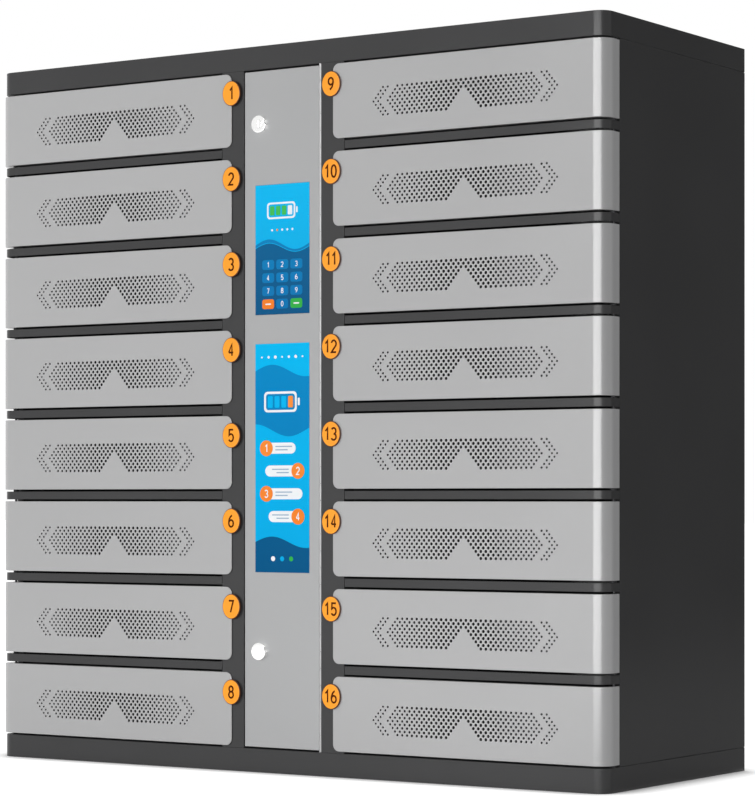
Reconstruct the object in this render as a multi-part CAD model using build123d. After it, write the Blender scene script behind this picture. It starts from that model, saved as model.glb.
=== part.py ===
"""Laptop charging cabinet with sixteen locker bays and a central control column.

Millimetres. The origin is the centre of the footprint, on the floor. X runs along
the width, the doors face -Y and Z is up. Every piece is folded or cut sheet steel
unless its comment says otherwise. The right half is modelled and the left half is
its mirror image.
"""
import os
from math import cos, hypot, pi, sin

from build123d import *

# Steel body
body_width = 1068.0
body_depth = 416.0
corner_radius = 20.0
cap_height = 34.0
base_height = 34.0
body_sheet = 1.2
sheet_fit = 0.2
panel_seam = 0.8

# Locker doors and the shelf fronts between them
doors_per_column = 8
door_height = 107.0
door_gap = 3.0
band_height = 12.0
door_sheet = 1.2
door_proud = 2.0
door_lap = 18.0
door_corner_radius = 10.0
door_flange = 15.0
door_flange_gap = 2.0
wrap_reach = 34.5

# Shelves
shelf_sheet = 1.0

# Hinge rods, one through all the doors and shelves of a column
rod_radius = 2.0
rod_running_gap = 0.06
rod_seat_gap = 0.03
rod_past_deck = 3.0
rod_hole_sides = 6
door_foot_width = 6.0
door_foot_gap = 0.1
hinge_inset = 6.5
hinge_from_end = 5.0
swing_gap = 0.5

# Control column
opening_half_width = 69.0
post_width = 39.0
post_flange = 25.0
side_flange = 12.0
rear_flange = 15.0

# Vent field of a door: a chevron at each end and slots between, with a notch below
vent_width = 301.0
vent_centre_from_side = 224.5
vent_drop = 5.8
vent_row_step = 19.4
vent_slot_height = 3.4
vent_slope = 0.83
vent_chevron = 11.5
vent_web = 8.0
notch_above_centre = 9.7

# Number discs
disc_width = 31.5
disc_height = 36.5
disc_thickness = 3.0
disc_centre_x = 88.5
disc_below_top = 28.7
disc_sides = 16

# Solenoid locks and the strikers that enter them
lock_thickness = 14.0
lock_depth = 60.0
lock_height = 72.0
lock_mouth = 6.0
lock_mouth_depth = 28.0
striker_thickness = 2.5
striker_reach = 22.0
striker_height = 20.0
striker_gap = 2.0
striker_hook = 8.0

# Charging ports
port_from_front = 268.0
port_above_shelf = 38.0
port_body_width = 34.0
port_body_height = 24.0
port_body_depth = 22.0
port_rim = 5.0
port_plate = 2.0
port_socket_width = 9.4
port_socket_height = 3.6
port_socket_depth = 7.0

# Control door
control_gap = 2.3
control_flange = 15.0
control_hinge_radius = 1.9
control_pin_radius = 0.95
control_pin_gap = 0.05
control_leaf_inner = 0.9
control_leaf_outer = 2.2
control_leaf_depth = 17.5
control_knuckles = 5
knuckle_sides = 12
knuckle_gap = 0.4
hinge_axis_depth = 0.5

# Touch screen and printed panel
screen_width = 95.5
screen_height = 188.0
screen_bottom = 665.0
screen_proud = 0.5
screen_fit = 0.3
module_rim = 6.0
module_depth = 18.0
print_width = 95.5
print_height = 331.5
print_bottom = 291.0
print_thickness = 0.8

# Cam locks
cam_lock_x = -39.7
cam_lock_heights = {"upper": 942.0, "lower": 176.0}
bezel_radius = 12.5
bezel_height = 5.0
bezel_rim = 1.6
barrel_radius = 9.4
barrel_length = 21.0
barrel_fit = 0.1
barrel_sides = 12
nut_radius = 13.0
nut_thickness = 4.0
plug_radius = 6.0
plug_running_gap = 0.05
plug_proud = 0.4
key_slot_width = 1.8
key_slot_height = 8.0
key_slot_depth = 4.0
cam_behind_post = 1.5
cam_thickness = 3.0
cam_width = 13.0
cam_length = 36.0
cam_square = 7.0
cam_fit = 0.1
cam_screw_radius = 5.0
cam_screw_height = 3.0

# Electrical pieces in the control column
supply_width = 115.0
supply_depth = 50.0
supply_height = 215.0
supply_terminal_height = 24.0
supply_bottoms = (120.0, 380.0)
board_width = 120.0
board_height = 170.0
board_thickness = 1.6
board_bottom = 650.0
standoff_width = 6.0
standoff_length = 10.0
inlet_z = 78.0
inlet_width = 27.0
inlet_height = 20.0
inlet_rim = 4.0
inlet_plate = 2.5
inlet_depth = 22.0
inlet_socket_width = 24.0
inlet_socket_height = 16.5
inlet_socket_depth = 16.0
inlet_blade = (2.0, 12.5, 4.0)
inlet_blade_spread = 7.0

# Back panel, and the small panel below its middle that holds the mains inlet
rear_slot_width = 150.0
rear_slot_height = 6.0
inlet_panel_half_width = 105.5
inlet_panel_top = 140.0
screw_radius = 1.9
screw_hole_gap = 0.25
screw_sides = 6
screw_head_radius = 3.5
screw_head_height = 2.4
screw_length = 8.0

# Levels and planes that follow from the sizes above
level_pitch = door_height + band_height + 2 * door_gap
bay_zone = doors_per_column * level_pitch - band_height
body_height = base_height + bay_zone + cap_height
deck_z = base_height
ceiling_z = body_height - cap_height
half_width = body_width / 2
front = -body_depth / 2
back = body_depth / 2
corner_x = half_width - corner_radius
corner_y = front + corner_radius
bay_edge = opening_half_width + post_width
door_edge = bay_edge - door_lap
wrap_end = front + wrap_reach
pivot_x = half_width + door_proud - hinge_inset
pivot_y = wrap_end - hinge_from_end
side_front = pivot_y + hypot(hinge_inset, hinge_from_end) + swing_gap
side_inner = half_width - body_sheet
back_inner = back - body_sheet
flange_back = back_inner - body_sheet
post_back = front + post_flange
lock_centre_x = bay_edge - body_sheet - lock_thickness / 2
control_axis_x = opening_half_width - control_leaf_outer
control_axis_y = front + hinge_axis_depth
control_right = control_axis_x - control_leaf_outer
control_left = -opening_half_width + control_gap
control_bottom = deck_z + door_gap
control_top = ceiling_z - door_gap
cam_front = post_back + cam_behind_post


def door_bottom(level):
    """Height of a door's lower edge, level 0 being the lowest."""
    return deck_z + door_gap + level * level_pitch


def block(x0, x1, y0, y1, z0, z1):
    """A box between two corners."""
    size = (x1 - x0, y1 - y0, z1 - z0)
    centre = ((x0 + x1) / 2, (y0 + y1) / 2, (z0 + z1) / 2)
    return Pos(*centre) * Box(*size)


def front_corners(solid):
    """The two upright edges at the front of a block."""
    return solid.edges().filter_by(Axis.Z).sort_by(Axis.Y)[:2]


def rounded_block(z0, z1):
    """The body's plan outline, raised between two heights."""
    solid = block(-half_width, half_width, front, back, z0, z1)
    return fillet(front_corners(solid), corner_radius)


def inner_block(inset, z0, z1):
    """A block drawn in from that outline, its front corners cut across the rounding."""
    x = half_width - inset
    solid = block(-x, x, front + inset, back - inset, z0, z1)
    return chamfer(front_corners(solid), corner_radius - inset)


def corner_outline(x_start, proud):
    """Lines along the front and round the right corner to the wrap's end."""
    face_y = front - proud
    side_x = half_width + proud
    return [
        Line((x_start, face_y), (corner_x, face_y)),
        CenterArc((corner_x, corner_y), corner_radius + proud, -90, 90),
        Line((side_x, corner_y), (side_x, wrap_end)),
    ]


def skin_plan(x_start, proud, sheet):
    """Plan of a sheet bent round the right corner."""
    face_y = front - proud + sheet
    side_x = half_width + proud - sheet
    edges = corner_outline(x_start, proud) + [
        Line((side_x + sheet, wrap_end), (side_x, wrap_end)),
        Line((side_x, wrap_end), (side_x, corner_y)),
        CenterArc((corner_x, corner_y), corner_radius + proud - sheet, 0, -90),
        Line((corner_x, face_y), (x_start, face_y)),
        Line((x_start, face_y), (x_start, face_y - sheet)),
    ]
    return make_face(edges)


def flange_plan(x_start, proud, depth):
    """Plan of a flat flange behind that sheet, cut across the rounding."""
    face_y = front - proud
    side_x = half_width + proud
    return make_face(Polyline(
        (x_start, face_y), (corner_x, face_y), (side_x, corner_y), (side_x, wrap_end),
        (side_x - depth, wrap_end), (side_x - depth, face_y + depth), (x_start, face_y + depth),
        close=True,
    ))


def upright(x, y, z0, z1, radius):
    """A cylinder along Z."""
    return Pos(x, y, (z0 + z1) / 2) * Cylinder(radius, z1 - z0)


def upright_prism(x, y, z0, z1, radius, sides):
    """A prism along Z whose flats touch a circle; its few sides stand for a round."""
    polygon = RegularPolygon(radius, sides, major_radius=False)
    return extrude(Pos(x, y, z0) * polygon, z1 - z0)


def prism_along_y(x, z, y0, y1, radius, sides):
    """The same kind of prism along Y."""
    polygon = RegularPolygon(radius, sides, major_radius=False)
    return Pos(x, y1, z) * Rot(90, 0, 0) * extrude(polygon, y1 - y0)


def round_along_y(x, z, y0, y1, radius):
    """A cylinder along Y."""
    return Pos(x, (y0 + y1) / 2, z) * Rot(90, 0, 0) * Cylinder(radius, y1 - y0)


def rod_hole(z0, z1, gap):
    """What a sheet leaves free for the right-hand hinge rod."""
    return upright_prism(pivot_x, pivot_y, z0, z1, rod_radius + gap, rod_hole_sides)


def mirrored(solid):
    """The left-hand copy of a right-hand piece."""
    return mirror(solid, about=Plane.YZ)


def save(name, *solids):
    """Write one node, a single solid or a group of separate ones."""
    shape = solids[0] if len(solids) == 1 else Compound(children=list(solids))
    export_step(shape, f"parts/{name}.step")


def base_plinth():
    """Open tray that stands on the floor."""
    return rounded_block(0, base_height) - inner_block(body_sheet, body_sheet, base_height)


def top_cover():
    """The same tray upside down."""
    cover = rounded_block(ceiling_z, body_height)
    return cover - inner_block(body_sheet, ceiling_z, body_height - body_sheet)


def deck(z0):
    """Sheet that closes a tray and holds the ends of the hinge rods."""
    sheet = inner_block(body_sheet + sheet_fit, z0, z0 + body_sheet)
    hole = rod_hole(z0, z0 + body_sheet, rod_seat_gap)
    return sheet - hole - mirrored(hole)


def side_panel():
    """Side sheet with its front and rear edges folded inwards."""
    z0 = deck_z + panel_seam
    z1 = ceiling_z - panel_seam
    wall = block(side_inner, half_width, side_front, back, z0, z1)
    hem = block(half_width - side_flange, side_inner, side_front, side_front + body_sheet, z0, z1)
    rear = block(side_inner - rear_flange, side_inner, flange_back, back_inner, z0, z1)
    return wall + hem + rear - screw_holes()


def post():
    """Channel beside the control door, with a slot for each door's striker."""
    z0 = deck_z + sheet_fit
    z1 = ceiling_z - sheet_fit
    channel = block(opening_half_width, bay_edge, front, post_back, z0, z1)
    x0 = opening_half_width + body_sheet
    channel -= block(x0, bay_edge - body_sheet, front + body_sheet, post_back, z0, z1)
    slot_height = striker_height + 2 * striker_gap
    for level in range(doors_per_column):
        z = door_bottom(level) + door_height / 2
        channel -= block(
            lock_centre_x - lock_mouth / 2, lock_centre_x + lock_mouth / 2,
            front, front + body_sheet, z - slot_height / 2, z + slot_height / 2,
        )
    return channel


def divider():
    """Wall between the bays and the control column, with a window for each port."""
    z0 = deck_z + sheet_fit
    z1 = ceiling_z - sheet_fit
    x0 = bay_edge - body_sheet
    wall = block(x0, bay_edge, post_back + sheet_fit, back_inner, z0, z1)
    wall += block(bay_edge - rear_flange, x0, flange_back, back_inner, z0, z1)
    for level in range(doors_per_column):
        y = front + port_from_front
        z = door_bottom(level) + port_above_shelf
        half_y = port_body_width / 2 + sheet_fit
        half_z = port_body_height / 2 + sheet_fit
        wall -= block(x0, bay_edge, y - half_y, y + half_y, z - half_z, z + half_z)
    return wall - screw_holes()


def shelf_plan(inset, front_corner):
    """Plan of a shelf, which steps in behind the front where the side panel starts."""
    x0 = bay_edge + sheet_fit + inset
    x1 = half_width - inset
    x2 = side_inner - sheet_fit - inset
    y1 = side_front - sheet_fit - inset
    y2 = flange_back - sheet_fit - inset
    edges = [
        Line((x0, front + inset), (corner_x, front + inset)),
        front_corner,
        Line((x1, corner_y), (x1, y1)),
        Line((x1, y1), (x2, y1)),
        Line((x2, y1), (x2, y2)),
        Line((x2, y2), (x0, y2)),
        Line((x0, y2), (x0, front + inset)),
    ]
    return make_face(edges)


def shelf():
    """Shallow tray, open below, whose front edge is the band between two doors."""
    rounding = CenterArc((corner_x, corner_y), corner_radius, -90, 90)
    across = Line((corner_x, front + shelf_sheet), (half_width - shelf_sheet, corner_y))
    tray = extrude(shelf_plan(0, rounding), band_height)
    tray -= extrude(shelf_plan(shelf_sheet, across), band_height - shelf_sheet)
    tray -= rod_hole(0, band_height, rod_running_gap)
    return tray - block(
        half_width - side_flange - sheet_fit, half_width,
        side_front - sheet_fit, side_front + body_sheet + sheet_fit, 0, band_height,
    )


def column_of_shelves(make):
    """Copies of a shelf below every door but the lowest."""
    return [
        Pos(0, 0, door_bottom(level) - door_gap - band_height) * make
        for level in range(1, doors_per_column)
    ]


def hinge_rod():
    """Rod on which all the doors of a column turn, held in the floor and ceiling sheets."""
    z0 = deck_z - body_sheet - rod_past_deck
    z1 = ceiling_z + body_sheet + rod_past_deck
    return upright(pivot_x, pivot_y, z0, z1, rod_radius)


def vent_slots():
    """Openings of the vent field: pointed ends, slots between, a notch below."""
    centre_x = half_width - vent_centre_from_side
    centre_z = door_height / 2 - vent_drop
    face_y = front - door_proud
    half = vent_width / 2
    top = vent_row_step + vent_slot_height / 2
    slots = []
    for side in (-1, 1):
        tip = side * half
        inner = side * (half - vent_chevron)
        arm = side * top * vent_slope
        outline = Polyline(
            (tip, 0), (tip - arm, top), (inner - arm, top),
            (inner, 0), (inner - arm, -top), (tip - arm, -top), close=True,
        )
        chevron = extrude(make_face(outline), door_sheet)
        slots.append(Pos(centre_x, face_y + door_sheet, centre_z) * Rot(90, 0, 0) * chevron)
    for row in (-1, 0, 1):
        z = row * vent_row_step
        reach = half - vent_chevron - vent_web - abs(z) * vent_slope
        notch = (notch_above_centre - z) * vent_slope
        spans = [(-reach, -notch), (notch, reach)] if notch > 0 else [(-reach, reach)]
        z0 = centre_z + z - vent_slot_height / 2
        for x0, x1 in spans:
            slots.append(block(
                centre_x + x0, centre_x + x1, face_y, face_y + door_sheet,
                z0, z0 + vent_slot_height,
            ))
    return slots


def locker_door():
    """Door sheet that wraps the corner, with flanges, striker and a foot that turns on the shelf."""
    skin = extrude(skin_plan(door_edge, door_proud, door_sheet), door_height)
    skin = fillet(skin.edges().filter_by(Axis.Y).sort_by(Axis.X)[:2], door_corner_radius)
    flange_start = bay_edge + door_flange_gap
    lower = extrude(flange_plan(flange_start, door_proud, door_sheet + door_flange), door_sheet)
    upper = Pos(0, 0, door_height - door_sheet) * lower
    inner_y = front - door_proud + door_sheet
    end = block(
        flange_start, flange_start + door_sheet, inner_y, inner_y + door_flange, 0, door_height
    )
    middle = door_height / 2
    striker = block(
        lock_centre_x - striker_thickness / 2, lock_centre_x + striker_thickness / 2,
        inner_y, inner_y + striker_reach, middle - striker_height / 2, middle + striker_height / 2,
    )
    hook_y = inner_y + striker_reach - striker_hook / 2
    striker -= block(
        lock_centre_x - striker_thickness / 2, lock_centre_x + striker_thickness / 2,
        hook_y - striker_hook, hook_y,
        middle - striker_height / 2, middle - striker_height / 2 + striker_hook,
    )
    foot_depth = door_gap - door_foot_gap
    half = door_foot_width / 2
    foot = block(pivot_x - half, pivot_x + half, pivot_y - half, pivot_y + half, -foot_depth, 0)
    door = skin + lower + upper + end + striker + foot
    return door - rod_hole(-foot_depth, door_height, rod_running_gap) - vent_slots()


def number_disc():
    """Oval disc of moulded plastic, fixed on the door's face over its inner edge."""
    points = []
    for step in range(disc_sides):
        angle = 2 * pi * step / disc_sides
        points.append((disc_width / 2 * cos(angle), disc_height / 2 * sin(angle)))
    oval = make_face(Polyline(*points, close=True))
    z = door_height - disc_below_top
    return Pos(disc_centre_x, front - door_proud, z) * Rot(90, 0, 0) * extrude(
        oval, disc_thickness
    )


def door_lock():
    """Solenoid lock behind the post, with the mouth that takes the striker."""
    y0 = front + body_sheet
    x0 = lock_centre_x - lock_thickness / 2
    x1 = lock_centre_x + lock_thickness / 2
    case = block(x0, x1, y0, y0 + lock_depth, -lock_height / 2, lock_height / 2)
    mouth = striker_height / 2 + striker_gap
    return case - block(
        lock_centre_x - lock_mouth / 2, lock_centre_x + lock_mouth / 2,
        y0, y0 + lock_mouth_depth, -mouth, mouth,
    )


def charging_port():
    """Port with its face in the bay and its body through the divider's window."""
    half_y = port_body_width / 2
    half_z = port_body_height / 2
    plate = block(
        bay_edge, bay_edge + port_plate,
        -half_y - port_rim, half_y + port_rim, -half_z - port_rim, half_z + port_rim,
    )
    body = block(bay_edge - port_body_depth, bay_edge, -half_y, half_y, -half_z, half_z)
    face_x = bay_edge + port_plate
    socket = block(
        face_x - port_socket_depth, face_x,
        -port_socket_width / 2, port_socket_width / 2,
        -port_socket_height / 2, port_socket_height / 2,
    )
    return Pos(0, front + port_from_front, 0) * (plate + body - socket)


def both_columns(make, above_door_bottom):
    """A copy of a piece in every bay, right and left."""
    solids = []
    for level in range(doors_per_column):
        piece = Pos(0, 0, door_bottom(level) + above_door_bottom) * make
        solids += [piece, mirrored(piece)]
    return solids


def screw_places():
    """Screws in the rear flanges of the side panels and dividers, clear of the shelves."""
    levels = (0, doors_per_column - 1)
    places = []
    for x in (side_inner - rear_flange / 2, bay_edge - rear_flange / 2):
        for level in levels:
            z = door_bottom(level) + door_height / 2
            places += [(x, z), (-x, z)]
    return places


def screw_holes():
    """What the screws' shanks take out of the sheets."""
    radius = screw_radius + screw_hole_gap
    return [prism_along_y(x, z, flange_back, back, radius, screw_sides) for x, z in screw_places()]


def back_panel_screws():
    """Hexagon-headed screws that hold the back panel and the inlet panel."""
    screws = []
    for x, z in screw_places():
        head = prism_along_y(x, z, back, back + screw_head_height, screw_head_radius, screw_sides)
        shank = prism_along_y(x, z, back - screw_length, back, screw_radius, screw_sides)
        screws.append(head + shank)
    return screws


def back_panel():
    """Rear sheet with vent slots behind every bay, notched for the inlet panel."""
    x = side_inner - sheet_fit
    z0 = deck_z + panel_seam
    z1 = ceiling_z - panel_seam
    panel = block(-x, x, back_inner, back, z0, z1)
    centre = (bay_edge + side_inner) / 2
    notch_x = inlet_panel_half_width + sheet_fit
    notch = block(-notch_x, notch_x, back_inner, back, z0, inlet_panel_top + sheet_fit)
    cuts = screw_holes() + [notch]
    for level in range(doors_per_column):
        z = door_bottom(level) + door_height / 2
        for side in (-1, 1):
            cuts.append(block(
                side * centre - rear_slot_width / 2, side * centre + rear_slot_width / 2,
                back_inner, back, z - rear_slot_height / 2, z + rear_slot_height / 2,
            ))
    return panel - cuts


def inlet_panel():
    """Small rear sheet with a cut-out for the mains inlet."""
    x = inlet_panel_half_width
    panel = block(-x, x, back_inner, back, deck_z + panel_seam, inlet_panel_top)
    half_x = inlet_width / 2 + sheet_fit
    half_z = inlet_height / 2 + sheet_fit
    cut_out = block(-half_x, half_x, back_inner, back, inlet_z - half_z, inlet_z + half_z)
    return panel - cut_out - screw_holes()


def mains_inlet():
    """Three-blade appliance inlet, entered from behind."""
    half_x = inlet_width / 2
    half_z = inlet_height / 2
    rim_x = half_x + inlet_rim
    rim_z = half_z + inlet_rim
    plate = block(-rim_x, rim_x, back, back + inlet_plate, -rim_z, rim_z)
    mouth_y = back + inlet_plate
    body = block(-half_x, half_x, mouth_y - inlet_depth, back, -half_z, half_z)
    socket = block(
        -inlet_socket_width / 2, inlet_socket_width / 2, mouth_y - inlet_socket_depth, mouth_y,
        -inlet_socket_height / 2, inlet_socket_height / 2,
    )
    inlet = plate + body - socket
    width, length, height = inlet_blade
    floor_y = mouth_y - inlet_socket_depth
    for x, z in ((-inlet_blade_spread, -height / 2), (0, height / 2), (inlet_blade_spread, -height / 2)):
        inlet += block(
            x - width / 2, x + width / 2, floor_y, floor_y + length, z - height / 2, z + height / 2
        )
    return Pos(0, 0, inlet_z) * inlet


def power_supply(bottom):
    """Enclosed supply against the back panel, with its terminal strip set back at the foot."""
    y0 = back_inner - supply_depth
    case = block(-supply_width / 2, supply_width / 2, y0, back_inner, bottom, bottom + supply_height)
    return case - block(
        -supply_width / 2, supply_width / 2, y0, back_inner - supply_depth / 2,
        bottom, bottom + supply_terminal_height,
    )


def controller_board():
    """Board on four standoffs, with its processor shield and two rows of connectors."""
    y1 = back_inner - standoff_length
    y0 = y1 - board_thickness
    top = board_bottom + board_height
    board = block(-board_width / 2, board_width / 2, y0, y1, board_bottom, top)
    margin = 4 * board_thickness
    for x in (-board_width / 2 + margin, board_width / 2 - margin):
        for z in (board_bottom + margin, top - margin):
            half = standoff_width / 2
            board += block(x - half, x + half, y1, back_inner, z - half, z + half)
        side = 1 if x > 0 else -1
        row = board_width / 2 - 3 * margin
        board += block(
            min(side * row, side * (row - margin)), max(side * row, side * (row - margin)),
            y0 - margin, y0, board_bottom + 2 * margin, top - 2 * margin,
        )
    shield = board_width / 6
    middle = board_bottom + board_height / 2
    return board + block(-shield, shield, y0 - board_thickness, y0, middle - shield, middle + shield)


def control_door():
    """Tray-shaped door with cut-outs for the screen and the two cam locks."""
    door = block(control_left, control_right, front, front + control_flange, control_bottom, control_top)
    door -= block(
        control_left + door_sheet, control_right - door_sheet,
        front + door_sheet, front + control_flange,
        control_bottom + door_sheet, control_top - door_sheet,
    )
    half = screen_width / 2 + screen_fit
    door -= block(
        -half, half, front, front + door_sheet,
        screen_bottom - screen_fit, screen_bottom + screen_height + screen_fit,
    )
    for z in cam_lock_heights.values():
        hole = barrel_radius + barrel_fit
        door -= prism_along_y(cam_lock_x, z, front, front + door_sheet, hole, barrel_sides)
    return door


def touchscreen_glass():
    """Cover glass in the door's cut-out."""
    return block(
        -screen_width / 2, screen_width / 2, front - screen_proud, front + door_sheet,
        screen_bottom, screen_bottom + screen_height,
    )


def touchscreen_module():
    """Display housing behind the glass, wider than the cut-out."""
    half = screen_width / 2 + module_rim
    y0 = front + door_sheet
    housing = block(
        -half, half, y0, y0 + module_depth,
        screen_bottom - module_rim, screen_bottom + screen_height + module_rim,
    )
    return chamfer(housing.faces().sort_by(Axis.Y)[-1].edges(), module_rim / 2)


def graphic_panel():
    """Printed plastic sheet on the control door's face."""
    return block(
        -print_width / 2, print_width / 2, front - print_thickness, front,
        print_bottom, print_bottom + print_height,
    )


def hinge_leaf(side):
    """One leaf of the continuous hinge: side 1 is on the post, side -1 on the door."""
    z0 = deck_z + sheet_fit
    z1 = ceiling_z - sheet_fit
    ax = control_axis_x
    ay = control_axis_y
    inner = ax + side * control_leaf_inner
    outer = ax + side * control_leaf_outer
    tangent = ax + side * control_hinge_radius
    clear = control_hinge_radius + swing_gap
    plate_z0, plate_z1 = (z0, z1) if side > 0 else (control_bottom, control_top)
    leaf = block(
        min(inner, outer), max(inner, outer), ay + clear, ay + control_leaf_depth, plate_z0, plate_z1
    )
    length = (z1 - z0) / control_knuckles
    bore = control_pin_radius + control_pin_gap
    for number in range(control_knuckles):
        if (number % 2 == 0) != (side > 0):
            continue
        k0 = z0 + number * length + (knuckle_gap / 2 if number else 0)
        k1 = z0 + (number + 1) * length - (knuckle_gap / 2 if number < control_knuckles - 1 else 0)
        leaf += upright_prism(ax, ay, k0, k1, control_hinge_radius, knuckle_sides)
        leaf += block(min(inner, tangent), max(inner, tangent), ay, ay + clear, k0, k1)
        leaf -= upright_prism(ax, ay, k0, k1, bore, rod_hole_sides)
    return leaf


def control_hinge_pin():
    """Wire that runs through every knuckle."""
    z0 = deck_z + sheet_fit
    z1 = ceiling_z - sheet_fit
    return upright(control_axis_x, control_axis_y, z0, z1, control_pin_radius)


def lock_housing(z):
    """Bezel with a bevelled rim, barrel and nut of a cam lock, bored for its plug."""
    bezel = round_along_y(cam_lock_x, z, front - bezel_height, front, bezel_radius)
    bezel = chamfer(bezel.edges().sort_by(Axis.Y)[0], bezel_rim)
    barrel_end = front + barrel_length
    barrel = prism_along_y(cam_lock_x, z, front, barrel_end, barrel_radius, barrel_sides)
    nut_y = front + door_sheet
    nut = prism_along_y(cam_lock_x, z, nut_y, nut_y + nut_thickness, nut_radius, screw_sides)
    bore = plug_radius + plug_running_gap
    return bezel + barrel + nut - prism_along_y(
        cam_lock_x, z, front - bezel_height, barrel_end, bore, barrel_sides
    )


def lock_plug(z):
    """Plug with its key slot, square tail and screw head."""
    y0 = front - bezel_height - plug_proud
    plug = round_along_y(cam_lock_x, z, y0, cam_front, plug_radius)
    plug -= block(
        cam_lock_x - key_slot_width / 2, cam_lock_x + key_slot_width / 2,
        y0, y0 + key_slot_depth, z - key_slot_height / 2, z + key_slot_height / 2,
    )
    tail = cam_square / 2 - cam_fit
    cam_back = cam_front + cam_thickness
    plug += block(cam_lock_x - tail, cam_lock_x + tail, cam_front, cam_back, z - tail, z + tail)
    head = prism_along_y(
        cam_lock_x, z, cam_back, cam_back + cam_screw_height, cam_screw_radius, screw_sides
    )
    return plug + head


def lock_cam(z):
    """Cam on the plug's tail, stored upright, clear of the post."""
    y1 = cam_front + cam_thickness
    half = cam_width / 2
    cam = block(cam_lock_x - half, cam_lock_x + half, cam_front, y1, z - half, z + cam_length)
    square = cam_square / 2
    return cam - block(
        cam_lock_x - square, cam_lock_x + square, cam_front, y1, z - square, z + square
    )


os.makedirs("parts", exist_ok=True)

save("base_plinth", base_plinth())
save("top_cover", top_cover())
save("deck_panels", deck(deck_z - body_sheet), deck(ceiling_z))
save("back_panel", back_panel())
save("inlet_panel", inlet_panel())
save("back_panel_screws", *back_panel_screws())
for name, piece in (("side_panel", side_panel()), ("post", post())):
    save(f"{name}_right", piece)
    save(f"{name}_left", mirrored(piece))
wall = divider()
save("dividers", wall, mirrored(wall))
one_shelf = shelf()
save("shelves_right", *column_of_shelves(one_shelf))
save("shelves_left", *column_of_shelves(mirrored(one_shelf)))
rod = hinge_rod()
save("hinge_rods", rod, mirrored(rod), control_hinge_pin())
save("door_locks", *both_columns(door_lock(), door_height / 2))
save("charging_ports", *both_columns(charging_port(), port_above_shelf))
save("power_supplies", *[power_supply(bottom) for bottom in supply_bottoms])
save("controller_board", controller_board())
save("mains_inlet", mains_inlet())

door = locker_door()
disc = number_disc()
for level in range(doors_per_column):
    lift = Pos(0, 0, door_bottom(level))
    left_number = doors_per_column - level
    right_number = left_number + doors_per_column
    save(f"door_{left_number:02d}", lift * mirrored(door))
    save(f"door_{right_number:02d}", lift * door)
    save(f"number_disc_{left_number:02d}", lift * mirrored(disc))
    save(f"number_disc_{right_number:02d}", lift * disc)

save("control_door", control_door())
save("control_hinge_frame_leaf", hinge_leaf(1))
save("control_hinge_door_leaf", hinge_leaf(-1))
save("touchscreen_glass", touchscreen_glass())
save("touchscreen_module", touchscreen_module())
save("graphic_panel", graphic_panel())
save("lock_housings", *[lock_housing(z) for z in cam_lock_heights.values()])
for name, z in cam_lock_heights.items():
    save(f"{name}_lock_plug", lock_plug(z), lock_cam(z))
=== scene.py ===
# %% [markdown]
# This lesson gives a packed laptop charging cabinet its looks. The imported model brings every
# piece at its real size, in metres, with the floor at zero, the doors facing -Y and Z up.
# Some pieces stay as they are and only get a finish. Others, such as the perforated doors,
# are built again here with the detail that a solid made for collision doesn't carry.
# Two lengths help throughout: mm turns millimetres into metres, and hair is a hundredth of a
# millimetre, the distance below which two points count as one.

# %% Load the imported model
from math import atan2, ceil, cos, hypot, pi, radians, sin

import bmesh
import bpy
from mathutils import Matrix, Vector


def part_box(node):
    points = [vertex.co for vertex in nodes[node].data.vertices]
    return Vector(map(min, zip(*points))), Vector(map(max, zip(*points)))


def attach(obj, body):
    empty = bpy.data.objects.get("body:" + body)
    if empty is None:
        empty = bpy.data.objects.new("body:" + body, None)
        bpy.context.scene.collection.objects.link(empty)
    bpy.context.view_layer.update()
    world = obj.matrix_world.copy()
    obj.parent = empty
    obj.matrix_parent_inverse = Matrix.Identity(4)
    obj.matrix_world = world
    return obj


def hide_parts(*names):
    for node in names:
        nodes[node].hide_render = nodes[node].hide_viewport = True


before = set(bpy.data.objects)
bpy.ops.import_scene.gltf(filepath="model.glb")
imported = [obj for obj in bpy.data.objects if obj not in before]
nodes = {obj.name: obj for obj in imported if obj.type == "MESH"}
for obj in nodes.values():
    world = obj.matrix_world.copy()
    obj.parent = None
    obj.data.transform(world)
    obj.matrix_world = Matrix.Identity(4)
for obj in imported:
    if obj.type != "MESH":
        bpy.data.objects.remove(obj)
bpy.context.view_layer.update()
mm = 0.001
hair = 0.01 * mm

# %% [markdown]
# Before anything is built, the sizes that several pieces share are read from the packed
# nodes. The top cover gives the body's outline, the lowest right-hand door gives the doors'
# edges, and the step from one door to the next gives the pitch of the bays. Reading them,
# instead of typing them again, keeps both models the same if the cabinet changes.

# %% Sizes read from the nodes
cover_low, cover_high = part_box("top_cover")
half_width = cover_high.x
front = cover_low.y
back = cover_high.y
cover_bottom = cover_low.z
base_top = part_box("base_plinth")[1].z
doors_per_column = 8
door_gap = 3 * mm
door_low, door_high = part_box("door_16")
door_face = door_low.y
door_bottom = base_top + door_gap
door_height = door_high.z - door_bottom
door_edge = door_low.x
door_side = door_high.x
wrap_end = door_high.y
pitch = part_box("door_15")[1].z - door_high.z
corner_radius = 20 * mm
door_sheet = 1.2 * mm
corner_x = half_width - corner_radius
corner_y = front + corner_radius
bay_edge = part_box("post_right")[1].x
print("pitch", round(pitch / mm, 2), "mm, door", round(door_height / mm, 2), "mm high")


def level_of(number):
    """Doors 1 to 8 run down the left column and 9 to 16 down the right, level 0 the lowest."""
    return doors_per_column - 1 - (number - 1) % doors_per_column


# %% [markdown]
# The camera comes before the looks, because each finish is judged through it. The picture
# has upright verticals although the horizon lies below its middle. A real camera does that
# with a shifted lens, and so does Blender's: the camera stays level and shift_y moves the
# picture. The lens is long, because the far edge of the side is hardly smaller than the near.

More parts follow.
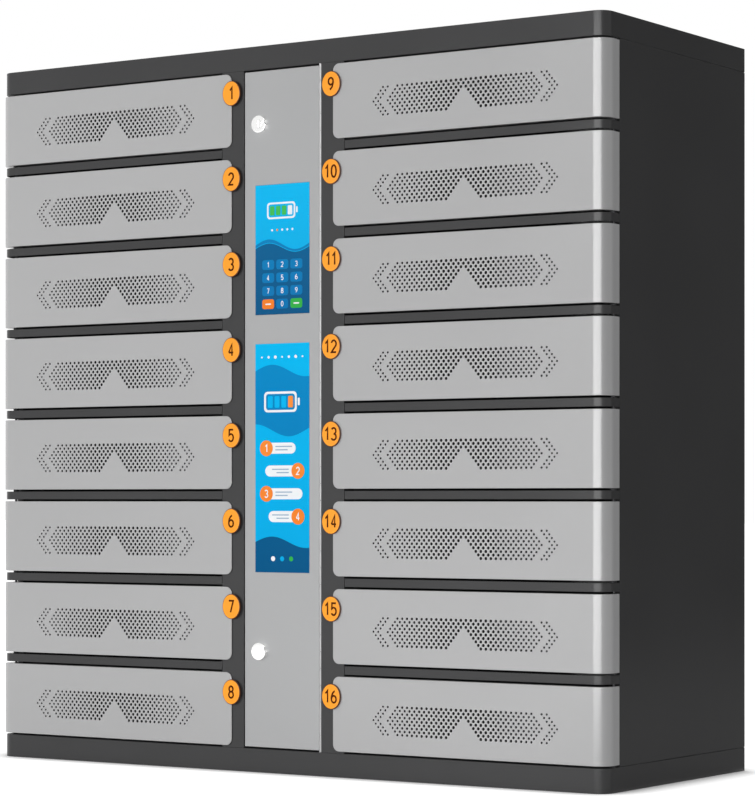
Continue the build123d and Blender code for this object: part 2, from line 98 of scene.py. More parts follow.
# %% Camera
def into_scene(name, data):
    """Wraps data in a new object and links it to the scene."""
    wrapped = bpy.data.objects.new(name, data)
    bpy.context.scene.collection.objects.link(wrapped)
    return wrapped


camera = into_scene("camera", bpy.data.cameras.new("camera"))
camera.location = (2.427, -3.607, 0.396)
camera.rotation_euler = (radians(90), 0, radians(33.64))
camera.data.sensor_width = 36
camera.data.lens = 129.9
camera.data.shift_y = 0.125
camera.data.clip_end = 100
bpy.context.scene.camera = camera
print("camera at", tuple(round(v, 3) for v in camera.location))

# %% [markdown]
# Materials and the sky are trees of nodes. Three short helpers save typing: one joins two
# sockets, one makes a Math node, and one asks the Light Path node what kind of ray arrives.
# A ray from the camera or from a mirror can then find another brightness than a ray that
# carries light to the object.

# %% Helpers for node materials
def link(tree, source, target):
    """Joins one node's output socket to another's input socket."""
    tree.links.new(source, target)


def math_node(tree, operation, first, second):
    """A Math node whose inputs are sockets or numbers."""
    node = tree.nodes.new("ShaderNodeMath")
    node.operation = operation
    for socket, value in zip(node.inputs, (first, second)):
        if isinstance(value, (int, float)):
            socket.default_value = value
        else:
            link(tree, value, socket)
    return node.outputs[0]


def seen_or_mirrored(tree):
    """1 for rays from the camera and for glossy and transmitted rays, else 0."""
    path = tree.nodes.new("ShaderNodeLightPath")
    seen = math_node(tree, "MAXIMUM", path.outputs["Is Camera Ray"], path.outputs["Is Glossy Ray"])
    return math_node(tree, "MAXIMUM", seen, path.outputs["Is Transmission Ray"])


print("node helpers ready")

# %% [markdown]
# The room is a pale floor under an even white sky, as in a catalogue picture. The sky is
# white to the camera and to reflections but gives only about half as much light, so that
# colours come out as they are written and the background stays clean. A brighter lamp could
# whiten the background too, but it would also bleach the doors.

# %% Sky
sky_light = 0.56
world = bpy.data.worlds.new("studio")
bpy.context.scene.world = world
world.use_nodes = True
sky = world.node_tree
background = sky.nodes["Background"]
background.inputs["Color"].default_value = (1, 1, 1, 1)
extra = math_node(sky, "MULTIPLY", seen_or_mirrored(sky), 1 - sky_light)
link(sky, math_node(sky, "ADD", extra, sky_light), background.inputs["Strength"])
bpy.context.scene.view_settings.view_transform = "Standard"
print("sky gives", sky_light, "of the light that it shows")

# %% [markdown]
# The floor would turn grey towards the horizon, where the lamps don't reach. It gets a glow
# that only the camera and reflections see, which lifts it to white. An Ambient Occlusion
# node takes that glow away within a hand's breadth of whatever stands on the floor, and so
# leaves the soft line of shadow that sets the plinth on the ground.

# %% Floor
floor_reach = 40
floor_drop = 0.2 * mm
floor_paper = 0.82
shadow_reach = 52 * mm
shadow_samples = 8
open_floor = 0.5
glow_range = (0.05, 0.75)


def flat_sheet(name, corners):
    """A single flat face as a staged object."""
    mesh = bpy.data.meshes.new(name)
    mesh.from_pydata(corners, [], [(0, 1, 2, 3)])
    sheet = into_scene(name, mesh)
    return sheet


floor_signs = [(-1, -1), (1, -1), (1, 1), (-1, 1)]
floor = flat_sheet("floor", [(x * floor_reach, y * floor_reach, 0) for x, y in floor_signs])
floor.location.z = -floor_drop
floor_paint = bpy.data.materials.new("floor_paint")
floor_paint.use_nodes = True
tree = floor_paint.node_tree
tree.nodes.remove(tree.nodes["Principled BSDF"])
diffuse = tree.nodes.new("ShaderNodeBsdfDiffuse")
diffuse.inputs["Color"].default_value = (floor_paper, floor_paper, floor_paper, 1)
nearby = tree.nodes.new("ShaderNodeAmbientOcclusion")
nearby.samples = shadow_samples
nearby.inputs["Distance"].default_value = shadow_reach
fade = tree.nodes.new("ShaderNodeMapRange")
fade.inputs["From Min"].default_value = open_floor
fade.inputs["To Min"].default_value, fade.inputs["To Max"].default_value = glow_range
link(tree, nearby.outputs["AO"], fade.inputs["Value"])
glow = tree.nodes.new("ShaderNodeEmission")
strength = math_node(tree, "MULTIPLY", seen_or_mirrored(tree), fade.outputs["Result"])
link(tree, strength, glow.inputs["Strength"])
both = tree.nodes.new("ShaderNodeAddShader")
link(tree, diffuse.outputs[0], both.inputs[0])
link(tree, glow.outputs[0], both.inputs[1])
link(tree, both.outputs[0], tree.nodes["Material Output"].inputs["Surface"])
floor.data.materials.append(floor_paint)
print("shadow reaches", round(shadow_reach / mm), "mm from the plinth")

# %% [markdown]
# A large softbox from the front left is the key light, and the sky fills the shadows. The
# cabinet's rounded corner shows a bright upright band, the reflection of a tall card set in
# front of it. Each lamp can be kept out of reflections or kept out of everything else,
# so each does one job: the key doesn't mirror, the two cards only mirror, and a small low
# lamp lifts the front of the plinth. The lower card is there for the cover's corner alone.

# %% Lamps
def softbox(name, place, target, width, height, power):
    """A rectangular area lamp that faces a point."""
    lamp = bpy.data.lights.new(name, "AREA")
    lamp.shape = "RECTANGLE"
    lamp.size = width
    lamp.size_y = height
    lamp.energy = power
    lamp_object = into_scene(name, lamp)
    lamp_object.location = place
    towards = Vector(target) - Vector(place)
    lamp_object.rotation_euler = towards.to_track_quat("-Z", "Y").to_euler()
    return lamp_object


key = softbox("key_softbox", (-2.6, -4.2, 1.1), (0, 0, 0.52), 1.8, 1.6, 112)
key.visible_glossy = False
card_x, card_y, card_width = 0.705, -1.733, 1.72
cards = [
    softbox(name, (card_x, card_y, z), (corner_x, corner_y, z), card_width, height, power)
    for name, z, height, power in (("corner_card", 0.75, 2.3, 101), ("cap_card", 1.055, 0.61, 40))
]
for card in cards:
    card.visible_diffuse = False
    card.visible_camera = False
corner_card, cap_card = cards
low_fill = softbox("low_fill", (0.4, -0.75, 0.05), (0.4, front, 0.08), 0.9, 0.08, 0.7)
low_fill.visible_glossy = False
low_fill.visible_camera = False
print("lamps", [lamp.name for lamp in (key, *cards, low_fill)])

# %% [markdown]
# The dark right side would mirror the white sky and look grey. Photographers set a black flag
# where the side mirrors the room, and the same is done here, with a grey cloth on the floor
# below it. Both are plain sheets that only reflections see: they throw no shadow, and the
# camera looks through them.

# %% Dark flag and grey cloth
def mirrored_only(sheet, shade):
    """Gives a sheet a plain cloth and hides it from everything but reflections."""
    cloth = bpy.data.materials.new(f"{sheet.name}_cloth")
    cloth.use_nodes = True
    shader = cloth.node_tree.nodes["Principled BSDF"]
    shader.inputs["Base Color"].default_value = (shade, shade, shade, 1)
    sheet.data.materials.append(cloth)
    for ray in ("camera", "diffuse", "transmission", "volume_scatter", "shadow"):
        setattr(sheet, f"visible_{ray}", False)


flag_left, flag_right, flag_top = (0.9, 3.2), (3.6, 1.8), 2.6
cloth_lift = 1 * mm
cloth_side = half_width + 10 * mm
flag = flat_sheet("dark_flag", [
    (*flag_left, 0), (*flag_right, 0), (*flag_right, flag_top), (*flag_left, flag_top),
])
cloth = flat_sheet("grey_cloth", [
    (cloth_side, front, cloth_lift), (*flag_right, cloth_lift), (*flag_left, cloth_lift),
    (cloth_side, 1, cloth_lift),
])
mirrored_only(flag, 0.03)
mirrored_only(cloth, 0.7)
print("flag", flag_top, "m high")

# %% [markdown]
# No real surface is quite even, so every finish here is mixed from noises. Four helpers do
# it: a noise whose patches have a size in metres, a stretch that keeps it between two values,
# a tint that lets a colour drift, and a grain that turns a noise into a tiny relief.

# %% Noise, tint and grain
def new_material(name):
    """An empty material with its Principled node."""
    material = bpy.data.materials.new(name)
    material.use_nodes = True
    return material, material.node_tree, material.node_tree.nodes["Principled BSDF"]


def noise(tree, coordinates, size, detail=3):
    """A noise whose patches are about that many metres across."""
    node = tree.nodes.new("ShaderNodeTexNoise")
    node.inputs["Scale"].default_value = 1 / size
    node.inputs["Detail"].default_value = detail
    link(tree, coordinates, node.inputs["Vector"])
    return node.outputs["Fac"]


noise_low, noise_high = 0.2, 0.8


def spread(tree, source, low, high):
    """Stretches a noise between two values."""
    node = tree.nodes.new("ShaderNodeMapRange")
    node.interpolation_type = "SMOOTHSTEP"
    node.inputs["From Min"].default_value = noise_low
    node.inputs["From Max"].default_value = noise_high
    node.inputs["To Min"].default_value = low
    node.inputs["To Max"].default_value = high
    link(tree, source, node.inputs["Value"])
    return node.outputs["Result"]


def tint(tree, source, colour, drift):
    """A colour that gets a little darker and lighter with a noise."""
    node = tree.nodes.new("ShaderNodeMix")
    node.data_type = "RGBA"
    link(tree, spread(tree, source, 0, 1), node.inputs["Factor"])
    node.inputs["A"].default_value = (*[c * (1 - drift) for c in colour], 1)
    node.inputs["B"].default_value = (*[c * (1 + drift) for c in colour], 1)
    return node.outputs["Result"]


def grain(tree, height, depth):
    """A Bump node for a relief of that many metres."""
    node = tree.nodes.new("ShaderNodeBump")
    node.inputs["Distance"].default_value = depth
    link(tree, height, node.inputs["Height"])
    return node.outputs["Normal"]


print("noises run from", noise_low, "to", noise_high)

# %% [markdown]
# The steel is powder coated. Such a coat is a plastic skin of a few hundredths of a
# millimetre, baked on, and it dries with a fine orange-peel grain. A flat grey would look
# like cardboard, so two noises are mixed in: a grain about a millimetre across that bends
# the highlights, and a slow drift that makes the colour and the gloss a little uneven. The
# coordinates come from the object, so the grain is the same size on every piece.

# %% Powder coat
coat_grain, coat_relief, coat_drift_size = 1.1 * mm, 0.012 * mm, 160 * mm


def coated(name, colour, roughness, specular, drift=0.03, grain_size=coat_grain):
    """Paint or plastic with a fine grain and a slow drift of colour and gloss."""
    material, tree, shader = new_material(name)
    place = tree.nodes.new("ShaderNodeTexCoord").outputs["Object"]
    slow = noise(tree, place, coat_drift_size, detail=0)
    fine = noise(tree, place, grain_size)
    link(tree, tint(tree, slow, colour, drift), shader.inputs["Base Color"])
    rough = spread(tree, slow, roughness - 0.02, roughness + 0.02)
    link(tree, rough, shader.inputs["Roughness"])
    link(tree, grain(tree, fine, coat_relief), shader.inputs["Normal"])
    shader.inputs["Specular IOR Level"].default_value = specular
    return material


dark_coat = coated("dark_powder_coat", (0.046, 0.046, 0.047), 0.25, 0.17)
door_coat = coated("door_powder_coat", (0.395, 0.395, 0.398), 0.22, 0.5, drift=0.01)
control_coat = coated("control_door_powder_coat", (0.375, 0.378, 0.382), 0.3, 0.45, drift=0.01)
inner_coat = coated("inner_powder_coat", (0.052, 0.052, 0.053), 0.45, 0.2)
black_plastic = coated("black_moulded_plastic", (0.02, 0.02, 0.021), 0.5, 0.35, grain_size=0.6 * mm)
print("coats", [coat.name for coat in (dark_coat, door_coat, control_coat, inner_coat)])

# %% [markdown]
# Metal pieces get a Principled shader with full metallic. Zinc plating is dull and a little
# spangled, nickel on the locks is bright, and the hinge is rolled strip whose fine lines run
# along it. The lines are a noise squeezed along one axis by a Mapping node.

# %% Metals
line_relief = 0.004 * mm


def metal(name, colour, roughness, stretch=(1, 1, 1), line_size=0.8 * mm):
    """Bare metal, its grain stretched along an axis whose factor is below one."""
    material, tree, shader = new_material(name)
    place = tree.nodes.new("ShaderNodeTexCoord").outputs["Object"]
    mapping = tree.nodes.new("ShaderNodeMapping")
    mapping.inputs["Scale"].default_value = stretch
    link(tree, place, mapping.inputs["Vector"])
    lines = noise(tree, mapping.outputs["Vector"], line_size)
    link(tree, tint(tree, lines, colour, 0.04), shader.inputs["Base Color"])
    rough = spread(tree, lines, roughness - 0.05, roughness + 0.05)
    link(tree, rough, shader.inputs["Roughness"])
    link(tree, grain(tree, lines, line_relief), shader.inputs["Normal"])
    shader.inputs["Metallic"].default_value = 1
    return material


hinge_metal = metal("rolled_hinge_strip", (0.295, 0.295, 0.297), 0.75, stretch=(1, 1, 0.05))
zinc = metal("zinc_plating", (0.5, 0.51, 0.53), 0.42, line_size=3 * mm)
black_zinc = metal("black_passivated_zinc", (0.05, 0.05, 0.052), 0.5, line_size=2 * mm)
nickel = metal("bright_nickel", (0.9, 0.9, 0.89), 0.16)
supply_metal = metal("supply_case_metal", (0.45, 0.46, 0.47), 0.45, stretch=(1, 1, 0.1))
print("metals", [finish.name for finish in (hinge_metal, zinc, black_zinc, nickel, supply_metal)])

# %% [markdown]
# Sheet metal is cut flat and then folded. The cutting is done with a filled 2D curve: one
# closed spline is the outline and every further spline inside it is a hole, which is how a
# punching machine sees the sheet. Extruding the curve gives it the sheet's thickness, and
# the result is turned into a mesh. Boolean cuts would do the same far more slowly. The fill
# loses its way when points are only thousandths apart, so the curve is drawn a thousand
# times larger and the mesh is scaled back. It also leaves long thin triangles, which shade
# badly. Beautify Fill turns their shared edges until the triangles are as even as they can be.

# %% Cut a sheet
drawing_scale = 1000
touching = 0.001


def from_bmesh(work):
    """Turns an edit mesh into a plain mesh with its faces pointing outwards."""
    bmesh.ops.recalc_face_normals(work, faces=work.faces)
    mesh = bpy.data.meshes.new("mesh")
    work.to_mesh(mesh)
    work.free()
    return mesh


def cut_sheet(outline, holes, thickness):
    """Mesh of a flat sheet in the XY plane, centred on Z = 0, with closed holes."""
    curve = bpy.data.curves.new("cut", "CURVE")
    curve.dimensions = "2D"
    curve.fill_mode = "BOTH"
    curve.extrude = thickness / 2 * drawing_scale
    for loop in [outline, *holes]:
        spline = curve.splines.new("POLY")
        spline.points.add(len(loop) - 1)
        drawn = [v for x, y in loop for v in (x * drawing_scale, y * drawing_scale, 0, 1)]
        spline.points.foreach_set("co", drawn)
        spline.use_cyclic_u = True
    holder = bpy.data.objects.new("cut", curve)
    drawn_mesh = bpy.data.meshes.new_from_object(holder)
    bpy.data.objects.remove(holder)
    bpy.data.curves.remove(curve)
    work = bmesh.new()
    work.from_mesh(drawn_mesh)
    bpy.data.meshes.remove(drawn_mesh)
    bmesh.ops.remove_doubles(work, verts=work.verts, dist=touching)
    flat = [face for face in work.faces if len({round(v.co.z, 3) for v in face.verts}) == 1]
    inside = set(flat)
    shared = [
        edge for edge in work.edges
        if len(edge.link_faces) == 2 and inside.issuperset(edge.link_faces)
    ]
    bmesh.ops.beautify_fill(work, faces=flat, edges=shared, method="ANGLE")
    bmesh.ops.dissolve_degenerate(work, edges=work.edges, dist=3 * touching)
    bmesh.ops.scale(work, vec=[1 / drawing_scale] * 3, verts=work.verts)
    return from_bmesh(work)


print("sheets are drawn", drawing_scale, "times larger")

# %% [markdown]
# A sheet's outline is a plain list of points. Corners and holes on sheet metal are always
# arcs, so three helpers write nearly every outline in this lesson: part of a circle, a whole
# circle, and a rectangle with round corners. The ring and the arc can be drawn out to ovals.

# %% Outlines
def arc(centre_x, centre_y, radius, start, end, steps, stretch=1):
    """Points along an arc, or part of an oval, between two angles in degrees."""
    angles = [radians(start + (end - start) * step / steps) for step in range(steps + 1)]
    return [(centre_x + radius * cos(a), centre_y + radius * stretch * sin(a)) for a in angles]


def ring(centre_x, centre_y, radius, sides, stretch=1, turn=0.5):
    """Points of a closed circle, or of an oval if stretch isn't one."""
    angles = [2 * pi * (side + turn) / sides for side in range(sides)]
    return [(centre_x + radius * cos(a), centre_y + radius * stretch * sin(a)) for a in angles]


def rounded_rectangle(x0, y0, x1, y1, radius, steps=6):
    """Points of a rectangle with round corners, counterclockwise."""
    return (
        arc(x1 - radius, y0 + radius, radius, -90, 0, steps)
        + arc(x1 - radius, y1 - radius, radius, 0, 90, steps)
        + arc(x0 + radius, y1 - radius, radius, 90, 180, steps)
        + arc(x0 + radius, y0 + radius, radius, 180, 270, steps)
    )


print("a rectangle with round corners has", len(rounded_rectangle(0, 0, 4, 3, 1)), "points")

# %% [markdown]
# Everything that is folded ends in a small radius, and that radius catches the light. The
# Bevel modifier rounds every sharp edge, and Weighted Normal keeps the flat faces looking
# flat beside the rounding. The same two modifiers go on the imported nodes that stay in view.
# Their mesh has separate corners for each face, so a Weld modifier joins them first.

# %% Soften edges
sharp_angle = radians(40)
edge_radius = 0.3 * mm
weld_distance = 0.001 * mm


def keep_flat(piece):
    """Keeps flat faces flat beside a rounding, by shading them with weighted normals."""
    normals = piece.modifiers.new("flat_faces", "WEIGHTED_NORMAL")
    normals.keep_sharp = True
    normals.weight = 100


def all_smooth(mesh):
    """Shades every face of a mesh smooth."""
    for polygon in mesh.polygons:
        polygon.use_smooth = True


def soften(piece, radius=edge_radius, weld=False):
    """Rounds a piece's sharp edges with modifiers."""
    if weld:
        piece.modifiers.new("weld", "WELD").merge_threshold = weld_distance
    bevel = piece.modifiers.new("bevel", "BEVEL")
    bevel.width = radius
    bevel.segments = 2
    bevel.limit_method = "ANGLE"
    bevel.angle_limit = sharp_angle
    keep_flat(piece)
    all_smooth(piece.data)


def smoothed(mesh, angle=35):
    """Shades a mesh smooth, apart from edges sharper than an angle in degrees."""
    all_smooth(mesh)
    mesh.set_sharp_from_angle(angle=radians(angle))
    return mesh


print("edges over", round(sharp_angle * 180 / pi), "degrees get rounded")

# %% [markdown]
# Each piece rides on one moving body of the cabinet and may stand in for imported nodes. The
# same few calls do this for every piece. A mesh can carry several materials: each face keeps
# the number of its own. Some meshes are shared by many objects, such as the sixteen doors, so
# placing a mesh and painting it are two helpers.

# %% Place a piece
def placed(name, mesh, body, slot, *replaced, at=(0, 0, 0)):
    """Puts a mesh in the scene as a piece that rides on a body and stands for nodes."""
    piece = into_scene(name, mesh)
    piece.location = at
    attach(piece, body)
    if replaced:
        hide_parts(*replaced)
    return piece


def painted(mesh, *materials):
    """Gives a mesh its materials, the first one for faces that name no other."""
    for material in materials:
        mesh.materials.append(material)
    return mesh


def new_piece(name, mesh, body, material, slot, *replaced):
    """Places a mesh of its own, in one material unless it already has some."""
    mesh.name = name
    if not mesh.materials:
        painted(mesh, material)
    return placed(name, mesh, body, slot, *replaced)


# %% [markdown]
# The cover, the plinth and every shelf are trays: a flat sheet whose rim is folded over.
# A tray needs its outline twice, once outside and once a sheet's thickness inside. The
# inner outline is worked out by moving each point along the mean of its two edges' normals.
# A solid drawn through a pile of such outlines needs no boolean and has clean even faces.

# %% Fold a tray
corner_steps = 14
sharpest_inset = 0.3


def inset(points, distance):
    """A closed counterclockwise outline, moved inwards by a distance."""
    moved = []
    for index, (x, y) in enumerate(points):
        x0, y0 = points[index - 1]
        x1, y1 = points[(index + 1) % len(points)]
        before = Vector((y - y0, x0 - x)).normalized()
        after = Vector((y1 - y, x - x1)).normalized()
        middle = (before + after).normalized()
        reach = distance / max(middle.dot(after), sharpest_inset)
        moved.append((x - middle.x * reach, y - middle.y * reach))
    return moved


def stacked(loops, bored=False):
    """Mesh through outlines with equal numbers of points, its ends closed or joined."""
    work = bmesh.new()
    rings = [[work.verts.new((x, y, z)) for x, y in loop] for loop, z in loops]
    if not bored:
        work.faces.new(rings[0])
        work.faces.new(rings[-1])
    for lower, upper in zip(rings, rings[1:] + rings[:1] if bored else rings[1:]):
        for index in range(len(lower)):
            after = (index + 1) % len(lower)
            work.faces.new((lower[index], lower[after], upper[after], upper[index]))
    return from_bmesh(work)


def tray(outline, closed_z, open_z, sheet):
    """Mesh of a tray whose rim runs from its closed side to its open side."""
    inner = inset(outline, sheet)
    inner_z = closed_z + (sheet if open_z > closed_z else -sheet)
    return stacked([(outline, closed_z), (outline, open_z), (inner, open_z), (inner, inner_z)])


def body_outline(gap=0):
    """The body's plan, with its two rounded front corners, drawn in by a gap."""
    x = half_width - gap
    y = front + gap
    radius = corner_radius - gap
    return (
        arc(x - radius, y + radius, radius, -90, 0, corner_steps)
        + [(x, back - gap), (-x, back - gap)]
        + arc(-x + radius, y + radius, radius, 180, 270, corner_steps)
    )


print("the body's outline has", len(body_outline()), "points")

# %% [markdown]
# The cover and the plinth are the same tray, one closed above and one closed below. The
# cover's flat top is mostly seen at a low angle, where any coat mirrors strongly, so it gets a
# rougher version of the coat as the mesh's second material.

# %% Cover and plinth
body_sheet = 1.2 * mm
fold_radius = 0.8 * mm
facing = 0.99
cover = new_piece(
    "top_cover_shell", tray(body_outline(), cover_high.z, cover_bottom, body_sheet),
    "cabinet", dark_coat, "dark_steel", "top_cover",
)
plinth = new_piece(
    "base_plinth_shell", tray(body_outline(), 0, base_top, body_sheet),
    "cabinet", dark_coat, "dark_steel", "base_plinth",
)
top_coat = coated("top_powder_coat", (0.046, 0.046, 0.047), 0.5, 0.05)
painted(cover.data, top_coat)
for polygon in cover.data.polygons:
    on_top = polygon.normal.z > facing and polygon.center.z > cover_bottom + fold_radius
    polygon.material_index = 1 if on_top else 0
for shell in (cover, plinth):
    soften(shell, fold_radius / 2)
print("cover", round((cover_high.z - cover_bottom) / mm, 1), "mm high")

# %% [markdown]
# Many pieces repeat one shape at several places, or are the mirror image of another. Three
# helpers do this with matrices: one raises a mesh, one joins placed copies into one mesh, and
# one mirrors. A mirrored mesh has its faces inside out, so its normals are flipped back.

# %% Raise, join and mirror
def lifted(z):
    """Matrix that raises a mesh."""
    return Matrix.Translation((0, 0, z))


def joined(name, parts):
    """One mesh made of several, each a mesh and the matrix that places it."""
    work = bmesh.new()
    for mesh, matrix in parts:
        start = len(work.verts)
        work.from_mesh(mesh)
        work.verts.ensure_lookup_table()
        bmesh.ops.transform(work, matrix=matrix, verts=work.verts[start:])
    result = bpy.data.meshes.new(name)
    work.to_mesh(result)
    work.free()
    return result


def mirrored_mesh(mesh):
    """The left-hand copy of a right-hand mesh."""
    copy = mesh.copy()
    copy.transform(Matrix.Scale(-1, 4, (1, 0, 0)))
    copy.flip_normals()
    return copy


print("one pitch up is", [round(v / mm, 1) for v in lifted(pitch).translation])

# %% [markdown]
# The fourteen shelves show as dark bands between the doors. Each band follows the rounded
# corner and ends where the side panel starts, so the outline of a shelf steps in there. One
# shelf is folded, copied to seven heights and joined into one piece, and the other column is
# its mirror image, so that a change to the one shelf changes all fourteen.

# %% Shelves
shelf_low, shelf_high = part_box("shelves_right")
side_panel_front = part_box("side_panel_right")[0].y
side_panel_inner = half_width - body_sheet
band_height = pitch - door_height - 2 * door_gap
shelf_sheet = 1 * mm
fit = 0.2 * mm
seam_width = 0.8 * mm


def shelf_outline():
    """Plan of a right-hand shelf, counterclockwise."""
    return (
        [(bay_edge + seam_width, shelf_high.y), (bay_edge + seam_width, front)]
        + arc(corner_x, corner_y, corner_radius, -90, 0, corner_steps)
        + [
            (half_width, side_panel_front - fit),
            (side_panel_inner - fit, side_panel_front - fit),
            (side_panel_inner - fit, shelf_high.y),
        ]
    )


shelf_mesh = tray(shelf_outline(), band_height, 0, shelf_sheet)
shelf_lifts = [lifted(shelf_low.z + level * pitch) for level in range(doors_per_column - 1)]
right_shelves = joined("shelves", [(shelf_mesh, lift) for lift in shelf_lifts])
for side, mesh in (("right", right_shelves), ("left", mirrored_mesh(right_shelves))):
    node = f"shelves_{side}"
    shelves = new_piece(f"{node}_trays", mesh, "cabinet", dark_coat, "dark_steel", node)
    soften(shelves, 0.4 * mm)
print("bands", round(band_height / mm, 1), "mm high")

# %% [markdown]
# Each door has a field of small round holes. Nine rows of holes lie half a step apart, as
# in a honeycomb. At both ends two columns of holes form an arrowhead, then one slanting
# column is left out, and a triangle without holes cuts into the field from below. A rule
# for each hole's place says all this, so no list of holes is needed.

# %% Holes of the vent field
hole_step = 8.1 * mm
hole_row = 4.86 * mm
rows_each_way = 4
half_count = 18.5
widest_hole, narrowest_hole = 2.2 * mm, 1.5 * mm
even_share = 0.25
notch_margin = 0.25
vent_x = half_width - 224.5 * mm
vent_z = door_height / 2 - 5.8 * mm


def vent_holes():
    """Centre and radius of each hole, in metres."""
    punched = []
    for row in range(-rows_each_way, rows_each_way + 1):
        end = half_count - abs(row) / 2
        notch = (1 - row) / 2
        for index in range(round(2 * end) + 1):
            step = index - end
            left_out = end - abs(step) == 2
            if not left_out and abs(step) > notch + notch_margin:
                share = max(0, abs(step) / half_count - even_share) / (1 - even_share)
                radius = widest_hole + (narrowest_hole - widest_hole) * share
                punched.append((vent_x + step * hole_step, vent_z + row * hole_row, radius))
    return punched


holes = vent_holes()
print(len(holes), "holes in a door")

# %% [markdown]
# A locker door is one sheet. Its front is flat and perforated, and its outer end bends round
# the cabinet's corner. The flat part is cut with the holes first. Each hole's corners are
# turned a little further than the last one's, or else corners of several holes lie in one
# line and the fill makes triangles without any area there.

# %% Flat front of a door
door_corner = 10 * mm
door_corner_steps = 8
hole_sides = 12
golden = (5 ** 0.5 - 1) / 2


def place_on_front(y):
    """Matrix that stands a sheet from the XY plane up against the front, centred on y."""
    return Matrix.Translation((0, y, 0)) @ Matrix.Rotation(radians(90), 4, "X")


def front_plate():
    """Flat perforated part of the door, from its inner edge to the bend."""
    x = door_edge + door_corner
    outline = (
        [(corner_x, 0), (corner_x, door_height)]
        + arc(x, door_height - door_corner, door_corner, 90, 180, door_corner_steps)
        + arc(x, door_corner, door_corner, 180, 270, door_corner_steps)
    )
    punched = [
        ring(x, z, radius, hole_sides, turn=golden * number % 1)
        for number, (x, z, radius) in enumerate(holes)
    ]
    mesh = cut_sheet(outline, punched, door_sheet)
    mesh.transform(place_on_front(door_face + door_sheet / 2))
    return mesh


front_mesh = front_plate()
print("flat front", len(front_mesh.polygons), "faces")

# %% [markdown]
# The bend is swept along the corner's arc as an outside and an inside skin. It is merged with
# the flat front where the two meet, so that the light runs over the seam unbroken. A bevel
# then rounds the sheet's rim only, because rounding every hole would triple the mesh without
# showing. The rim's edges are found by a rule: sharp, longer than a hole's sides, and outside.

# %% Bend, and one skin
bend_steps = 20
rim_radius = 0.8 * mm
rim_segments = 3
rim_angle = radians(50)
shortest_rim_edge = 1.4 * mm


def bend(work):
    """Adds the bent end of the door to an edit mesh."""
    outer = corner_radius + front - door_face
    paths = []
    for radius in (outer, outer - door_sheet):
        path = arc(corner_x, corner_y, radius, -90, 0, bend_steps)
        paths.append(path + [(path[-1][0], wrap_end)])
    outside, inside = [
        [[work.verts.new((x, y, z)) for x, y in path] for z in (0, door_height)]
        for path in paths
    ]
    for index in range(len(paths[0]) - 1):
        after = index + 1
        work.faces.new((outside[0][index], outside[0][after], outside[1][after], outside[1][index]))
        work.faces.new((inside[0][after], inside[0][index], inside[1][index], inside[1][after]))
        for outer_row, inner_row in zip(outside, inside):
            work.faces.new((outer_row[index], outer_row[after], inner_row[after], inner_row[index]))
    work.faces.new((outside[0][-1], outside[1][-1], inside[1][-1], inside[0][-1]))


def on_outside(point):
    """Whether a point of the skin is on the face that shows."""
    if point.x <= corner_x:
        return abs(point.y - door_face) < hair
    if point.y >= corner_y:
        return abs(point.x - door_side) < hair
    outer = corner_radius + front - door_face
    return abs(hypot(point.x - corner_x, point.y - corner_y) - outer) < hair


def door_skin():
    """The whole sheet, flat part and bend merged, its rim rounded."""
    work = bmesh.new()
    work.from_mesh(front_mesh)
    seam = [
        face for face in work.faces
        if all(abs(vertex.co.x - corner_x) < hair for vertex in face.verts)
    ]
    bmesh.ops.delete(work, geom=seam, context="FACES")
    bend(work)
    bmesh.ops.remove_doubles(work, verts=work.verts, dist=hair)
    bmesh.ops.recalc_face_normals(work, faces=work.faces)
    rim = [
        edge for edge in work.edges
        if edge.is_manifold and edge.calc_face_angle() > rim_angle
        and edge.calc_length() > shortest_rim_edge
        and all(on_outside(vertex.co) for vertex in edge.verts)
    ]
    bmesh.ops.bevel(
        work, geom=rim, offset=rim_radius, segments=rim_segments, profile=0.5, affect="EDGES"
    )
    return from_bmesh(work)


skin_mesh = door_skin()
print("door skin", len(skin_mesh.polygons), "faces")

# %% [markdown]
# Behind the skin two flanges stiffen the door and turn on the hinge rod. They are flat sheets
# that follow the same bend, each cut with the rod's hole.

# %% Flanges
flange_depth = 15 * mm
flange_start = bay_edge + 2 * mm
pivot_x, pivot_y = 529.5 * mm, -178.5 * mm
rod_hole_radius = 2.1 * mm
round_sides = 24


def flange():
    """Flat flange behind the sheet, with the hole for the hinge rod."""
    inner_face = door_face + door_sheet
    inner_side = door_side - door_sheet
    outline = (
        [(flange_start, inner_face)]
        + arc(corner_x, corner_y, inner_side - corner_x, -90, 0, bend_steps)
        + [(inner_side, wrap_end), (inner_side - flange_depth, wrap_end)]
        + [(inner_side - flange_depth, inner_face + flange_depth)]
        + [(flange_start, inner_face + flange_depth)]
    )
    rod_hole = ring(pivot_x, pivot_y, rod_hole_radius, round_sides)
    return cut_sheet(outline, [rod_hole], door_sheet)


flange_mesh = flange()
print("flange", len(flange_mesh.polygons), "faces")

# %% [markdown]
# The striker is a tongue with a hook that the solenoid lock in the post catches. It is cut
# from plate like the other sheets and then stood on edge. Where a piece is only a bar or a
# folded edge, a block between two corners does, and a bevel takes away its sharpness later.

# %% Striker
striker_low, striker_high = 98.55 * mm, 101.05 * mm
striker_reach = 22 * mm
striker_height = 20 * mm
striker_hook = 8 * mm
striker_bevel = 2 * mm
still = Matrix.Identity(4)


def block(x0, x1, y0, y1, z0, z1):
    """Mesh of a box between two corners."""
    work = bmesh.new()
    bmesh.ops.create_cube(work, size=1)
    bmesh.ops.scale(work, vec=(x1 - x0, y1 - y0, z1 - z0), verts=work.verts)
    bmesh.ops.translate(work, vec=((x0 + x1) / 2, (y0 + y1) / 2, (z0 + z1) / 2), verts=work.verts)
    return from_bmesh(work)


